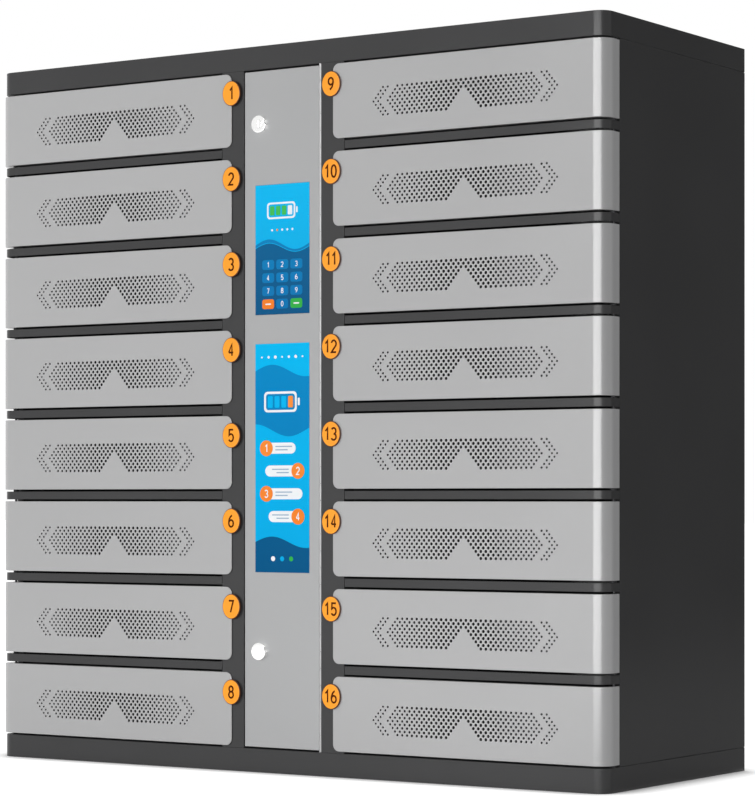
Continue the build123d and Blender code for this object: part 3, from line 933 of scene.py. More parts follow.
def striker():
    """Tongue with a hook at its tip, cut from plate and standing on edge."""
    y0 = door_face + door_sheet
    y1 = y0 + striker_reach
    z0 = (door_height - striker_height) / 2
    z1 = z0 + striker_height
    hook = y1 - striker_hook / 2
    outline = [
        (y0, z0), (hook - striker_hook, z0), (hook - striker_hook, z0 + striker_hook),
        (hook, z0 + striker_hook), (hook, z0), (y1, z0), (y1, z1 - striker_bevel),
        (y1 - striker_bevel, z1), (y0, z1),
    ]
    mesh = cut_sheet(outline, [], striker_high - striker_low)
    upright = Matrix(((0, 0, 1, 0), (1, 0, 0, 0), (0, 1, 0, 0), (0, 0, 0, 1)))
    mesh.transform(Matrix.Translation(((striker_low + striker_high) / 2, 0, 0)) @ upright)
    return mesh


striker_mesh = striker()
print("striker", len(striker_mesh.polygons), "faces")

# %% [markdown]
# Skin, flanges, end fold and striker become one mesh, together with the small dark foot on
# which the door turns. The foot's faces are found by their height and take the second
# material. The left door is the mirror image of the right one.

# %% One locker door
foot_half = 3 * mm
foot_drop = 2.9 * mm
foot_top = -door_gap / 4
fold_y = door_face + door_sheet
end_fold = block(
    flange_start, flange_start + door_sheet, fold_y, fold_y + flange_depth, 0, door_height
)
foot = block(
    pivot_x - foot_half, pivot_x + foot_half, pivot_y - foot_half, pivot_y + foot_half,
    -foot_drop, 0,
)
door_parts = [
    (skin_mesh, still),
    (flange_mesh, lifted(door_sheet / 2)),
    (flange_mesh, lifted(door_height - door_sheet / 2)),
    (end_fold, still),
    (striker_mesh, still),
    (foot, still),
]
door_mesh = joined("locker_door", door_parts)
for polygon in door_mesh.polygons:
    polygon.material_index = 1 if polygon.center.z < foot_top else 0
smoothed(door_mesh, 30)
left_door_mesh = mirrored_mesh(door_mesh)
for mesh in (door_mesh, left_door_mesh):
    painted(mesh, door_coat, black_zinc)
print("door", len(door_mesh.polygons), "faces")

# %% [markdown]
# Sixteen objects share the two door meshes. Only their heights differ, so an object's
# location is enough, and a change to one mesh changes eight doors. The place comes before
# the ride, because a piece keeps the place that it has when it is tied to its body.

# %% Sixteen doors
for number in range(1, 2 * doors_per_column + 1):
    mesh = left_door_mesh if number <= doors_per_column else door_mesh
    door = placed(
        f"door_{number:02d}_sheet", mesh, f"locker_{number:02d}", "grey_door_paint",
        f"door_{number:02d}", at=(0, 0, door_bottom + level_of(number) * pitch),
    )
    keep_flat(door)
print(2 * doors_per_column, "doors placed")

# %% [markdown]
# Each bay has its number on an oval disc of moulded plastic. The disc is turned like a coin:
# rings of points at growing radius and depth, joined by faces, give it a flat face, a small
# rounded shoulder and a straight edge. Its shoulder, edge and back are painted dark brown, a
# painted shade for the shadow round its rim. The disc is made once, and sixteen objects share the
# mesh.

# %% Number disc
disc_low, disc_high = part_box("number_disc_16")
disc_half_width = (disc_high.x - disc_low.x) / 2
disc_stretch = (disc_high.z - disc_low.z) / (disc_high.x - disc_low.x)
disc_centre = (disc_low + disc_high) / 2
disc_sides = 64
moulded_grain = 0.5 * mm
disc_orange = coated(
    "orange_moulded_plastic", (1.0, 0.36, 0.025), 0.4, 0.2, drift=0.02, grain_size=moulded_grain
)
# Painted shade: this dark brown on the disc's shoulder, edge and back stands for the shadow round
# its rim.
disc_rim_shade = coated("disc_rim_painted_shade", (0.1, 0.028, 0.006), 0.45, 0.3, grain_size=moulded_grain)
digit_ink = coated("digit_ink", (0.075, 0.014, 0.001), 0.5, 0.04, grain_size=moulded_grain)


def turned(profile, sides, stretch=1, bored=False):
    """Mesh turned about the Z axis from (radius, height) points, its ends closed or joined."""
    return stacked([(ring(0, 0, radius, sides, stretch), z) for radius, z in profile], bored)


disc_depth = disc_high.y - disc_low.y
disc_profile = [
    (disc_half_width - 0.1 * mm, 0),
    (disc_half_width, 0.1 * mm),
    (disc_half_width, disc_depth - 0.5 * mm),
    (disc_half_width - 0.25 * mm, disc_depth - 0.15 * mm),
    (disc_half_width - 0.8 * mm, disc_depth),
]
disc_mesh = painted(turned(disc_profile, disc_sides, disc_stretch), disc_orange, disc_rim_shade)
disc_mesh.transform(Matrix.Rotation(radians(90), 4, "X"))
# Faces that don't look straight to the front take the painted rim shade.
for polygon in disc_mesh.polygons:
    polygon.material_index = 0 if polygon.normal.y < -facing else 1
smoothed(disc_mesh, 50)
print("disc", round(2 * disc_half_width / mm, 1), "mm wide")

# %% [markdown]
# Blender has a text object, but its built-in font isn't the narrow lettering of such discs.
# The digits are drawn instead as a pen would draw them. A stroke is a path given an even
# width: each point moves to both sides, and a path that closes becomes a ring with a hole.

# %% Pen strokes
narrowest_mitre = 0.45


def ribbon(path, half):
    """Outline and holes of a band of even width along an open or closed path."""
    if hypot(path[0][0] - path[-1][0], path[0][1] - path[-1][1]) < half / 10:
        return inset(path[:-1], -half), [inset(path[:-1], half)]
    left, right = [], []
    for index, (x, y) in enumerate(path):
        x0, y0 = path[max(index - 1, 0)]
        x1, y1 = path[min(index + 1, len(path) - 1)]
        before = Vector((y0 - y, x - x0)).normalized()
        after = Vector((y - y1, x1 - x)).normalized()
        if index == 0:
            before = after
        if index == len(path) - 1:
            after = before
        middle = (before + after).normalized()
        reach = half / max(middle.dot(after), narrowest_mitre)
        left.append((x + middle.x * reach, y + middle.y * reach))
        right.append((x - middle.x * reach, y - middle.y * reach))
    return right + left[::-1], []


print("a straight stroke has", len(ribbon([(0, 0), (0, 9)], 1)[0]), "points")

# %% [markdown]
# Each digit is one or two paths in a square from -1 to 1, scaled to the digit's size before
# the pen follows them. Strokes that cross lie a hundredth of a millimetre apart in height, so
# that no two faces share a plane. A one takes less width than the other digits.

# %% Digits
narrow_one = 0.62
six = [arc(0, -0.42, 1, 0, 360, 28, 0.58), arc(0.9, -0.42, 1.9, 178, 104, 12, 0.75)]
digit_paths = {
    "0": [arc(0, 0, 1, 0, 360, 32)],
    "1": [[(-1, 0.5), (0.8, 1), (0.8, -1)]],
    "2": [arc(0, 0.42, 1, 165, -35, 18, 0.58) + [(-1, -1), (1, -1)]],
    "3": [
        arc(-0.05, 0.5, 0.95, 150, -90, 18, 0.53),
        arc(-0.05, -0.48, 1.05, 90, -155, 18, 0.5),
    ],
    "4": [[(0.4, -1), (0.4, 1), (-1, -0.45)], [(-0.95, -0.45), (1, -0.45)]],
    "5": [[(0.9, 1), (-0.75, 1), (-0.85, 0.05)] + arc(-0.05, -0.38, 1.05, 125, -150, 18, 0.6)],
    "6": six,
    "7": [[(-1, 1), (1, 1), (-0.25, -1)]],
    "8": [arc(0, 0.52, 0.85, 0, 360, 26, 0.56), arc(0, -0.46, 1, 0, 360, 28, 0.54)],
    "9": [[(-u, -v) for u, v in path] for path in six],
}


def number_strokes(text, height, width, half):
    """Outline, holes and place in the pile of each stroke of a number, centred on zero."""
    widths = [width * (narrow_one if character == "1" else 1) for character in text]
    space = width / 3
    x = -(sum(widths) + space * (len(text) - 1)) / 2
    strokes = []
    for character, wide in zip(text, widths):
        scale_x = wide / 2 - half
        scale_y = height / 2 - half
        for pile, path in enumerate(digit_paths[character]):
            drawn = [(x + wide / 2 + u * scale_x, v * scale_y) for u, v in path]
            strokes.append((*ribbon(drawn, half), pile))
        x += wide + space
    return strokes


print(len(digit_paths), "digits to draw with")

# %% [markdown]
# Every disc is the shared mesh at its own place, and each number is cut from a thin sheet and
# laid on the disc's face as its own piece, like the print on the real one. It rides on its
# door, so it swings with it.

# %% Numbers on the discs
digit_height, digit_width, pen_half = 19.6 * mm, 10.8 * mm, 1.35 * mm
digit_relief = 0.15 * mm
for number in range(1, 2 * doors_per_column + 1):
    side = 1 if number > doors_per_column else -1
    name = f"{number:02d}"
    z = disc_centre.z + level_of(number) * pitch
    placed(
        f"number_disc_{name}_oval", disc_mesh, f"locker_{name}", "orange_plastic",
        f"number_disc_{name}", at=(side * disc_centre.x, disc_high.y, z),
    )
    strokes = number_strokes(str(number), digit_height, digit_width, pen_half)
    place = Matrix.Translation((side * disc_centre.x, 0, z)) @ place_on_front(disc_low.y)
    digits = joined("digits", [
        (cut_sheet(outline, gaps, digit_relief), place @ lifted(pile * hair))
        for outline, gaps, pile in strokes
    ])
    new_piece(f"number_{name}_print", digits, f"locker_{name}", digit_ink, "orange_plastic")
print("digits", round(digit_height / mm, 1), "mm high")

# %% [markdown]
# The control door is a shallow tray too, but it stands upright and has openings: a window
# for the touch screen and a round hole for each lock. Its front is cut like the doors and
# four folded edges are set behind it. Its sharp outer edges are rounded by soften.

# %% Control door
panel_low, panel_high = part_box("control_door")
screen_low, screen_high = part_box("touchscreen_glass")
window_gap = 0.3 * mm
lock_x = -39.7 * mm
lock_heights = {"upper": 942 * mm, "lower": 176 * mm}
barrel_hole, barrel_sides = 9.6 * mm, 32
panel_corner = 1.2 * mm


def frame_of(x0, z0, x1, z1):
    """The four corners of a rectangle, counterclockwise."""
    return [(x0, z0), (x1, z0), (x1, z1), (x0, z1)]


def control_front():
    """The control door's front sheet with its openings."""
    outline = rounded_rectangle(
        panel_low.x, panel_low.z, panel_high.x, panel_high.z, panel_corner, 4
    )
    window = frame_of(
        screen_low.x - window_gap, screen_low.z - window_gap,
        screen_high.x + window_gap, screen_high.z + window_gap,
    )
    bores = [ring(lock_x, z, barrel_hole, barrel_sides) for z in lock_heights.values()]
    mesh = cut_sheet(outline, [window, *bores], door_sheet)
    mesh.transform(place_on_front(panel_low.y + door_sheet / 2))
    return mesh


def control_folds():
    """The four edges folded back behind the control door's front."""
    y0 = panel_low.y + door_sheet
    y1 = panel_high.y
    x0, x1, z0, z1 = panel_low.x, panel_high.x, panel_low.z, panel_high.z
    return [
        block(x0, x0 + door_sheet, y0, y1, z0, z1),
        block(x1 - door_sheet, x1, y0, y1, z0, z1),
        block(x0 + door_sheet, x1 - door_sheet, y0, y1, z0, z0 + door_sheet),
        block(x0 + door_sheet, x1 - door_sheet, y0, y1, z1 - door_sheet, z1),
    ]


control_mesh = joined(
    "control_door", [(mesh, still) for mesh in (control_front(), *control_folds())]
)
control_sheet = new_piece(
    "control_door_sheet", control_mesh, "control_door_leaf", control_coat,
    "control_door_paint", "control_door",
)
soften(control_sheet)
print("control door", [round(v / mm, 1) for v in panel_high - panel_low])

# %% [markdown]
# The light strip along the control door is a continuous hinge: two long leaves whose
# knuckles take turns on one thin pin. Half of the knuckles belong to the cabinet and half to
# the door, so they are two pieces on two bodies, made by one loop that skips every other one.

# %% Continuous hinge
hinge_x, hinge_y = 66.8 * mm, -207.5 * mm
knuckle_radius = 1.9 * mm
knuckle_length = 24 * mm
knuckle_space = 0.35 * mm
knuckle_lip, knuckle_sides = 0.25 * mm, 20
web_start, web_end, leaf_setback = 0.9 * mm, 1.7 * mm, 2.4 * mm
hinge_bottom, hinge_top = [corner.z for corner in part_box("control_hinge_frame_leaf")]
knuckle_count = 2 * ceil((hinge_top - hinge_bottom) / knuckle_length / 2) - 1


def hinge_leaf(node, first):
    """One leaf with every second knuckle, starting with knuckle 0 or 1."""
    low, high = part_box(node)
    if first == 0:
        leaf_x0, leaf_x1 = hinge_x + web_start, high.x
        web_x0, web_x1 = hinge_x + web_start, hinge_x + web_end
        bottom, top = hinge_bottom, hinge_top
    else:
        leaf_x0, leaf_x1 = low.x, hinge_x - web_start
        web_x0, web_x1 = hinge_x - web_end, hinge_x - web_start
        bottom, top = panel_low.z, panel_high.z
    leaf_y = hinge_y + leaf_setback
    parts = [(block(leaf_x0, leaf_x1, leaf_y, high.y, bottom, top), still)]
    length = (hinge_top - hinge_bottom) / knuckle_count
    half = length / 2 - knuckle_space / 2
    knuckle = turned([
        (knuckle_radius - knuckle_lip, -half), (knuckle_radius, -half + knuckle_lip),
        (knuckle_radius, half - knuckle_lip), (knuckle_radius - knuckle_lip, half),
    ], knuckle_sides)
    for index in range(first, knuckle_count, 2):
        z = hinge_bottom + (index + 0.5) * length
        web = block(web_x0, web_x1, hinge_y, leaf_y, z - half, z + half)
        parts.append((knuckle, Matrix.Translation((hinge_x, hinge_y, z))))
        parts.append((web, still))
    return smoothed(joined(node, parts), 40)


new_piece(
    "frame_leaf_knuckles", hinge_leaf("control_hinge_frame_leaf", 0),
    "cabinet", hinge_metal, "hinge_steel", "control_hinge_frame_leaf",
)
new_piece(
    "door_leaf_knuckles", hinge_leaf("control_hinge_door_leaf", 1),
    "control_door_leaf", hinge_metal, "hinge_steel", "control_hinge_door_leaf",
)
print(knuckle_count, "knuckles")

# %% [markdown]
# The cam locks are turned and plated. The bezel is a thick ring with a rounded rim and a bite
# in its right edge. A turned profile can't have a bite, so the bezel is a stack of outlines:
# the same bitten circle, drawn in a little more at each step of the rounding, and at last a
# circle as wide as the bore with as many points. Joining the last outline to the first one,
# instead of closing both with faces, is what leaves a bore.

# %% Bezel of a cam lock
bezel_radius, bezel_height, bezel_rim = 12.5 * mm, 5 * mm, 0.7 * mm
bite_centre, bite_radius, bite_turn = 15 * mm, 5 * mm, radians(14)
bezel_steps, bite_steps, rounding_steps = 60, 14, 4
bore = 6.05 * mm


def bezel():
    """Thick ring with a bite in its edge, its front rim rounded."""
    reach = (bezel_radius ** 2 - bite_radius ** 2 + bite_centre ** 2) / 2 / bite_centre
    height = (bezel_radius ** 2 - reach ** 2) ** 0.5
    start = atan2(height, reach) * 180 / pi
    turn = atan2(height, reach - bite_centre) * 180 / pi
    rim = arc(0, 0, bezel_radius, start, 360 - start, bezel_steps)
    bite = arc(bite_centre, 0, bite_radius, 360 - turn, turn, bite_steps)[1:-1]
    outline = rim + bite
    bored = [(x * bore / hypot(x, y), y * bore / hypot(x, y)) for x, y in outline]
    rounded = [
        (inset(outline, bezel_rim * (1 - cos(a))), bezel_height - bezel_rim * (1 - sin(a)))
        for a in [pi / 2 * step / rounding_steps for step in range(rounding_steps + 1)]
    ]
    return stacked([(outline, 0), *rounded, (bored, bezel_height), (bored, 0)], bored=True)


bezel_mesh = bezel()
print("bezel", len(bezel_mesh.polygons), "faces")

# %% [markdown]
# Behind the bezel a turned barrel goes through the door, and a six-sided nut holds it there.
# Both locks' housings are one piece, because neither moves against the control door.

# %% Lock housings
barrel_radius, barrel_length, barrel_start = 9.4 * mm, 21 * mm, 0.2 * mm
nut_size, nut_thickness = 15 * mm, 4 * mm
turned_gap = 0.05 * mm
housing_sides = 64
face_y = front - bezel_height


def along_y(y):
    """Matrix that points a turned piece's top at the viewer, its zero at that depth."""
    return Matrix.Translation((lock_x, y, 0)) @ Matrix.Rotation(radians(90), 4, "X")


def lock_body(z):
    """Bezel, barrel and nut of one lock."""
    barrel = turned([
        (barrel_radius, -barrel_length), (barrel_radius, barrel_start),
        (bore, barrel_start), (bore, -barrel_length),
    ], housing_sides, bored=True)
    nut_bore = ring(0, 0, barrel_radius + turned_gap, barrel_sides)
    nut = cut_sheet(ring(0, 0, nut_size, 6), [nut_bore], nut_thickness)
    nut_y = front + door_sheet + nut_thickness / 2
    return [
        (bezel_mesh, lifted(z) @ along_y(front) @ Matrix.Rotation(bite_turn, 4, "Z")),
        (barrel, lifted(z) @ along_y(front)),
        (nut, lifted(z) @ along_y(nut_y)),
    ]


housings = smoothed(joined("locks", [part for z in lock_heights.values() for part in lock_body(z)]))
new_piece("lock_bezels", housings, "control_door_leaf", nickel, "lock_chrome", "lock_housings")
print(len(lock_heights), "housings")

# %% [markdown]
# The plug turns in the barrel and carries everything that turns with it: the nose with the
# key's slot, a square tail, the cam and its screw. Each plug is a piece on a body of its own.
# The nose is cut like a thick sheet, so the slot is a real pocket that gets its own shadow.

# %% Plugs, cams and key slots
plug_radius, plug_proud, plug_sides = 6 * mm, 0.4 * mm, 48
slot_depth = 4 * mm
cam_front, cam_thickness = -181.5 * mm, 3 * mm
cam_width, cam_length, cam_corner = 13 * mm, 36 * mm, 5 * mm
square = 3.4 * mm
screw_size = 5.6 * mm
key_slot = [
    (-0.9, -4), (0.9, -4), (0.9, -1), (0.4, -0.4), (0.9, 0.4), (0.9, 4),
    (-0.9, 4), (-0.9, 1.2), (-0.4, 0.6), (-0.9, 0),
]


def lock_core(z):
    """Plug with its key slot, square tail, cam and screw."""
    slot = [(x * mm, y * mm) for x, y in key_slot]
    radius = plug_radius - turned_gap
    nose = cut_sheet(ring(0, 0, radius, plug_sides), [slot], slot_depth)
    nose_y = face_y - plug_proud
    length = cam_front - nose_y - slot_depth
    body = turned([(radius, 0), (radius, length)], plug_sides)
    cam_outline = rounded_rectangle(
        -cam_width / 2, -cam_width / 2, cam_width / 2, cam_length, cam_corner
    )
    cam = cut_sheet(cam_outline, [frame_of(-square, -square, square, square)], cam_thickness)
    screw = cut_sheet(ring(0, 0, screw_size, 6), [], cam_thickness)
    tail = block(
        lock_x - square, lock_x + square, cam_front, cam_front + cam_thickness,
        z - square, z + square,
    )
    return [
        (nose, lifted(z) @ along_y(nose_y + slot_depth / 2)),
        (body, lifted(z) @ along_y(cam_front)),
        (cam, lifted(z) @ along_y(cam_front + cam_thickness / 2)),
        (screw, lifted(z) @ along_y(cam_front + cam_thickness * 1.5)),
        (tail, still),
    ]


for name, z in lock_heights.items():
    core = smoothed(joined("core", lock_core(z)))
    new_piece(f"{name}_lock_core", core, f"{name}_lock", nickel, "lock_chrome", f"{name}_lock_plug")
print("locks at", [round(z / mm) for z in lock_heights.values()])

# %% [markdown]
# The screen shows a plain keypad and the printed panel a plain guide: a battery, waves, dots
# and numbers, all of the maker's own drawing. Each ink is a mix of two tones by height, a
# little darker towards the bottom. A thin clear coat over every colour gives the screen some
# gloss, and the film hardly any.

# %% Colours of the pictures
print_grain, print_relief, print_coat_roughness = 0.7 * mm, 0.004 * mm, 0.08


def printed(name, low_colour, high_colour, low_z, high_z, roughness, coat):
    """A printed colour that changes with height, under a film or glass."""
    material, tree, shader = new_material(name)
    place = tree.nodes.new("ShaderNodeTexCoord").outputs["Object"]
    split = tree.nodes.new("ShaderNodeSeparateXYZ")
    link(tree, place, split.inputs["Vector"])
    rise = tree.nodes.new("ShaderNodeMapRange")
    rise.inputs["From Min"].default_value = low_z
    rise.inputs["From Max"].default_value = high_z
    link(tree, split.outputs["Z"], rise.inputs["Value"])
    mix = tree.nodes.new("ShaderNodeMix")
    mix.data_type = "RGBA"
    link(tree, rise.outputs["Result"], mix.inputs["Factor"])
    mix.inputs["A"].default_value = (*low_colour, 1)
    mix.inputs["B"].default_value = (*high_colour, 1)
    link(tree, mix.outputs["Result"], shader.inputs["Base Color"])
    fine = noise(tree, place, print_grain)
    rough = spread(tree, fine, roughness - 0.04, roughness + 0.04)
    link(tree, rough, shader.inputs["Roughness"])
    link(tree, grain(tree, fine, print_relief), shader.inputs["Normal"])
    shader.inputs["Specular IOR Level"].default_value = 0.05
    shader.inputs["Coat Weight"].default_value = coat
    shader.inputs["Coat Roughness"].default_value = print_coat_roughness
    return material


ink = {
    "sky": ((0, 0.38, 0.74), (0, 0.47, 0.86)),
    "blue": ((0, 0.16, 0.42), (0, 0.25, 0.56)),
    "deep": ((0, 0.085, 0.22), (0, 0.13, 0.32)),
    "white": ((0.84, 0.86, 0.88), (0.84, 0.86, 0.88)),
    "orange": ((0.85, 0.2, 0.02), (0.95, 0.3, 0.05)),
    "green": ((0.03, 0.4, 0.06), (0.06, 0.5, 0.1)),
    "line": ((0.3, 0.42, 0.55), (0.3, 0.42, 0.55)),
}


def palette(name, low_z, high_z, roughness, coat):
    """One material for each ink."""
    return [
        printed(f"{name}_{colour}", *tones, low_z, high_z, roughness, coat)
        for colour, tones in ink.items()
    ]


print("inks", list(ink))

# %% [markdown]
# Each shape of a picture is a flat layer a tenth of a millimetre thick, stacked like cut
# paper, so that the picture stays sharp in any view and needs no image file. A layer reaches
# a little into the one below, and the number of its level says how far up it lies.

# %% Layers of a picture
layer_depth = 0.1 * mm
layer_overlap = 0.02 * mm
picture_layers = 3


def picture(name, shapes, colours, slot, node):
    """Piece made of a panel and flat coloured layers, whose top one ends at the node's front."""
    low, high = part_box(node)
    ground_y = low.y + picture_layers * layer_depth
    parts = [(block(low.x, high.x, ground_y, high.y, low.z, high.z), still)]
    for outline, gaps, colour, level in shapes:
        sheet = cut_sheet(outline, gaps, layer_depth + layer_overlap)
        for polygon in sheet.polygons:
            polygon.material_index = list(ink).index(colour)
        y = ground_y - level * layer_depth - (layer_depth - layer_overlap) / 2
        parts.append((sheet, place_on_front(y)))
    mesh = painted(joined(name, parts), *colours)
    new_piece(name, mesh, "control_door_leaf", colours[0], slot, node)
    return mesh


print("a layer is", layer_depth / mm, "mm deep")

# %% [markdown]
# Both pictures are put together from a few shapes: pills, spots, waves, numbers and a battery.
# Every helper returns the outline, the holes, the ink and the level, which is all that the
# layers need.

# %% Shapes of the pictures
pill_steps, spot_sides, wave_steps = 5, 36, 32
number_width, number_pen = 0.56, 0.07


def pill(x0, z0, x1, z1, colour, level, radius=None):
    """A rectangle with round corners, or with round ends if no radius is given."""
    radius = radius or min(x1 - x0, z1 - z0) / 2 - hair
    return (rounded_rectangle(x0, z0, x1, z1, radius, pill_steps), [], colour, level)


def spot(x, z, radius, colour, level):
    """A filled circle."""
    return (ring(x, z, radius, spot_sides), [], colour, level)


def wave(x0, x1, height, swing, turns, shape=sin):
    """Points of a waved line across the picture, from left to right."""
    across = [x0 + (x1 - x0) * step / wave_steps for step in range(wave_steps + 1)]
    return [(x, height + swing * shape(pi * turns * (x - x0) / (x1 - x0))) for x in across]


def moved(points, x, z):
    """Points shifted to a place."""
    return [(x + u, z + v) for u, v in points]


def number_on(text, x, z, height, colour, level):
    """A plain number centred on a place."""
    strokes = number_strokes(text, height, height * number_width, height * number_pen)
    return [
        (moved(outline, x, z), [moved(gap, x, z) for gap in gaps], colour, level + pile / 10)
        for outline, gaps, pile in strokes
    ]


def battery(x0, z0, length, height, frame_colour, bars, level):
    """A battery lying on its side, its charge shown by bars."""
    wall = height / 9
    corner = height / 5
    outer = rounded_rectangle(x0, z0, x0 + length, z0 + height, corner, pill_steps)
    inner = rounded_rectangle(
        x0 + wall, z0 + wall, x0 + length - wall, z0 + height - wall, corner - wall / 2, pill_steps
    )
    shapes = [(outer, [inner], frame_colour, level)]
    shapes.append(pill(
        x0 + length + wall / 2, z0 + height * 0.32, x0 + length + wall * 1.6, z0 + height * 0.68,
        frame_colour, level, wall / 3,
    ))
    step = (length - 3 * wall) / len(bars)
    for index, colour in enumerate(bars):
        left = x0 + 2 * wall + index * step
        right = left + step - wall
        top = z0 + height - 2 * wall
        shapes.append(pill(left, z0 + 2 * wall, right, top, colour, level, wall / 2))
    return shapes


print("a pill has", len(pill(0, 0, 1, 1, "sky", 0)[0]), "points")

# %% [markdown]
# The touch screen's ground is a bright sky blue. A dark field with a waved edge fills its
# lower half behind a keypad of round-cornered keys, and a battery and a row of dots stand
# above it. The picture's own numbers are heights above the screen's lower edge.

# %% Touch screen
def screen_shapes():
    """Battery and dots above a keypad."""
    foot = screen_low.z
    ends = (screen_low.x, screen_high.x)
    dark_edge = wave(*ends, foot + 96 * mm, 7 * mm, 2)
    lower_edge = wave(*ends, foot + 97 * mm, 7 * mm, 2)
    upper_edge = wave(*ends, foot + 101 * mm, 8 * mm, 2)
    shapes = [
        ([(ends[0], foot), (ends[1], foot)] + dark_edge[::-1], [], "deep", 0),
        (lower_edge + upper_edge[::-1], [], "blue", 0),
    ]
    bars = ["green", "green", "green", "white"]
    shapes += battery(-27 * mm, foot + 138 * mm, 50 * mm, 24 * mm, "white", bars, 0)
    for index in range(5):
        colour = "orange" if index == 1 else "white"
        shapes.append(spot((index - 2) * 9 * mm, foot + 122 * mm, 1.7 * mm, colour, 0))
    for index, text in enumerate([*"123456789", "", "0", ""]):
        row, column = divmod(index, 3)
        x = (column - 1) * 25 * mm
        z = foot + (72 - 19 * row) * mm
        colour = "blue" if text else "orange" if column == 0 else "green"
        shapes.append(pill(
            x - 10.5 * mm, z - 7 * mm, x + 10.5 * mm, z + 7 * mm, colour, 1, 3.5 * mm
        ))
        if text:
            shapes += number_on(text, x, z, 8 * mm, "white", 2)
        else:
            shapes.append(pill(x - 5 * mm, z - 1 * mm, x + 5 * mm, z + 1 * mm, "white", 2))
    return shapes


screen_inks = palette("screen", screen_low.z, screen_high.z, 0.34, 0.12)
screen_mesh = picture(
    "touchscreen_picture", screen_shapes(), screen_inks, "screen_glass", "touchscreen_glass"
)
print("screen", len(screen_mesh.polygons), "faces")

# %% [markdown]
# The printed panel is a film with a duller surface. Its battery stands on a band between two
# waves, and four cards below take turns to the left and right, each with a numbered spot and
# two thin lines where a guide would have its words.

# %% Printed panel
print_low, print_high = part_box("graphic_panel")


def print_shapes():
    """Battery on a waved field, four numbered cards that take turns, and a dark foot."""
    left, right = print_low.x, print_high.x
    foot = print_low.z
    band_foot = wave(left, right, foot + 206 * mm, 9 * mm, 1.6, cos)
    band_top = wave(left, right, foot + 292 * mm, 9 * mm, 1.6)
    dark_edge = wave(left, right, foot + 44 * mm, 8 * mm, 1.6)
    shapes = [
        (band_foot + band_top[::-1], [], "blue", 0),
        ([(left, foot), (right, foot)] + dark_edge[::-1], [], "deep", 0),
    ]
    bars = ["sky", "sky", "sky", "orange"]
    shapes += battery(-32 * mm, foot + 232 * mm, 58 * mm, 30 * mm, "white", bars, 1)
    for index in range(4):
        z = foot + (180 - 33 * index) * mm
        side = 1 if index % 2 else -1
        x = side * 28 * mm
        x0, x1 = sorted((x, x - side * (52 + 6 * (index % 3)) * mm))
        shapes.append(pill(x0, z - 8 * mm, x1, z + 8 * mm, "white", 0))
        shapes.append(spot(x, z, 11.5 * mm, "orange", 1))
        shapes += number_on(str(index + 1), x, z, 12 * mm, "white", 2)
        for row, length in ((2.4 * mm, 30 * mm), (-2.4 * mm, 22 * mm)):
            start, end = sorted((x - side * 16 * mm, x - side * (16 * mm + length)))
            shapes.append(pill(start, z + row - 0.8 * mm, end, z + row + 0.8 * mm, "line", 1))
    for index, colour in enumerate(("white", "sky", "green")):
        shapes.append(spot((index - 1) * 16 * mm, foot + 20 * mm, 3.6 * mm, colour, 1))
    for index in range(7):
        radius = (1.4 + 0.5 * (index % 3)) * mm
        shapes.append(spot((index - 3) * 12 * mm, foot + 312 * mm, radius, "white", 0))
    return shapes


film_inks = palette("film", print_low.z, print_high.z, 0.42, 0.02)
print_mesh = picture(
    "graphic_panel_print", print_shapes(), film_inks, "printed_film", "graphic_panel"
)
print("print", len(print_mesh.polygons), "faces")

# %% [markdown]
# Behind the doors every bay has a charging port in its inner wall. The port's mouth is what
# the eye looks for, so it gets its steel shell and the thin tongue inside it. One port is
# built facing the front, in the same way as everything else is cut.

# %% One charging port
port_half_width, port_half_height = 17 * mm, 12 * mm
port_rim, port_plate, port_depth = 5 * mm, 2 * mm, 22 * mm
plate_corner, sleeve_corner = 3 * mm, 1 * mm
mouth_half_width, mouth_half_height, mouth_depth = 4.7 * mm, 1.8 * mm, 7 * mm
shell_gap, shell_sheet, shell_corner, shell_setback = 0.1 * mm, 0.35 * mm, 1.6 * mm, 0.2 * mm
tongue_half_width, tongue_half_height, tongue_setback = 3.3 * mm, 0.35 * mm, 1 * mm


def centred(half_x, half_z, radius):
    """A rounded rectangle centred on zero."""
    return rounded_rectangle(-half_x, -half_z, half_x, half_z, radius)


def coloured_mesh(mesh, index):
    """Gives all of a mesh one material slot."""
    for polygon in mesh.polygons:
        polygon.material_index = index
    return mesh


mouth = centred(mouth_half_width, mouth_half_height, mouth_half_height - 5 * hair)
shell_x, shell_z = mouth_half_width - shell_gap, mouth_half_height - shell_gap
shell_outline = centred(shell_x, shell_z, shell_corner)
shell_inside = centred(shell_x - shell_sheet, shell_z - shell_sheet, shell_corner - shell_sheet)
plate_outline = centred(port_half_width + port_rim, port_half_height + port_rim, plate_corner)
sleeve_outline = centred(port_half_width, port_half_height, sleeve_corner)
mouth_end = mouth_depth - port_plate
port_block = block(
    -port_half_width, port_half_width, mouth_end, port_depth, -port_half_height, port_half_height
)
steel_shell = cut_sheet(shell_outline, [shell_inside], mouth_depth - 2 * shell_setback)
tongue = block(
    -tongue_half_width, tongue_half_width, tongue_setback - port_plate, mouth_end,
    -tongue_half_height, tongue_half_height,
)
port_parts = [
    (cut_sheet(plate_outline, [mouth], port_plate), place_on_front(-port_plate / 2)),
    (cut_sheet(sleeve_outline, [mouth], mouth_end), place_on_front(mouth_end / 2)),
    (port_block, still),
    (coloured_mesh(steel_shell, 1), place_on_front(mouth_depth / 2 - port_plate + shell_setback)),
    (tongue, still),
]
one_port = joined("port", port_parts)
print("port", len(one_port.polygons), "faces")

# %% [markdown]
# The ports face the bays on both sides of the column, so each copy is turned by a quarter to
# the right or the left, then moved to its divider and its height. All sixteen are one piece.

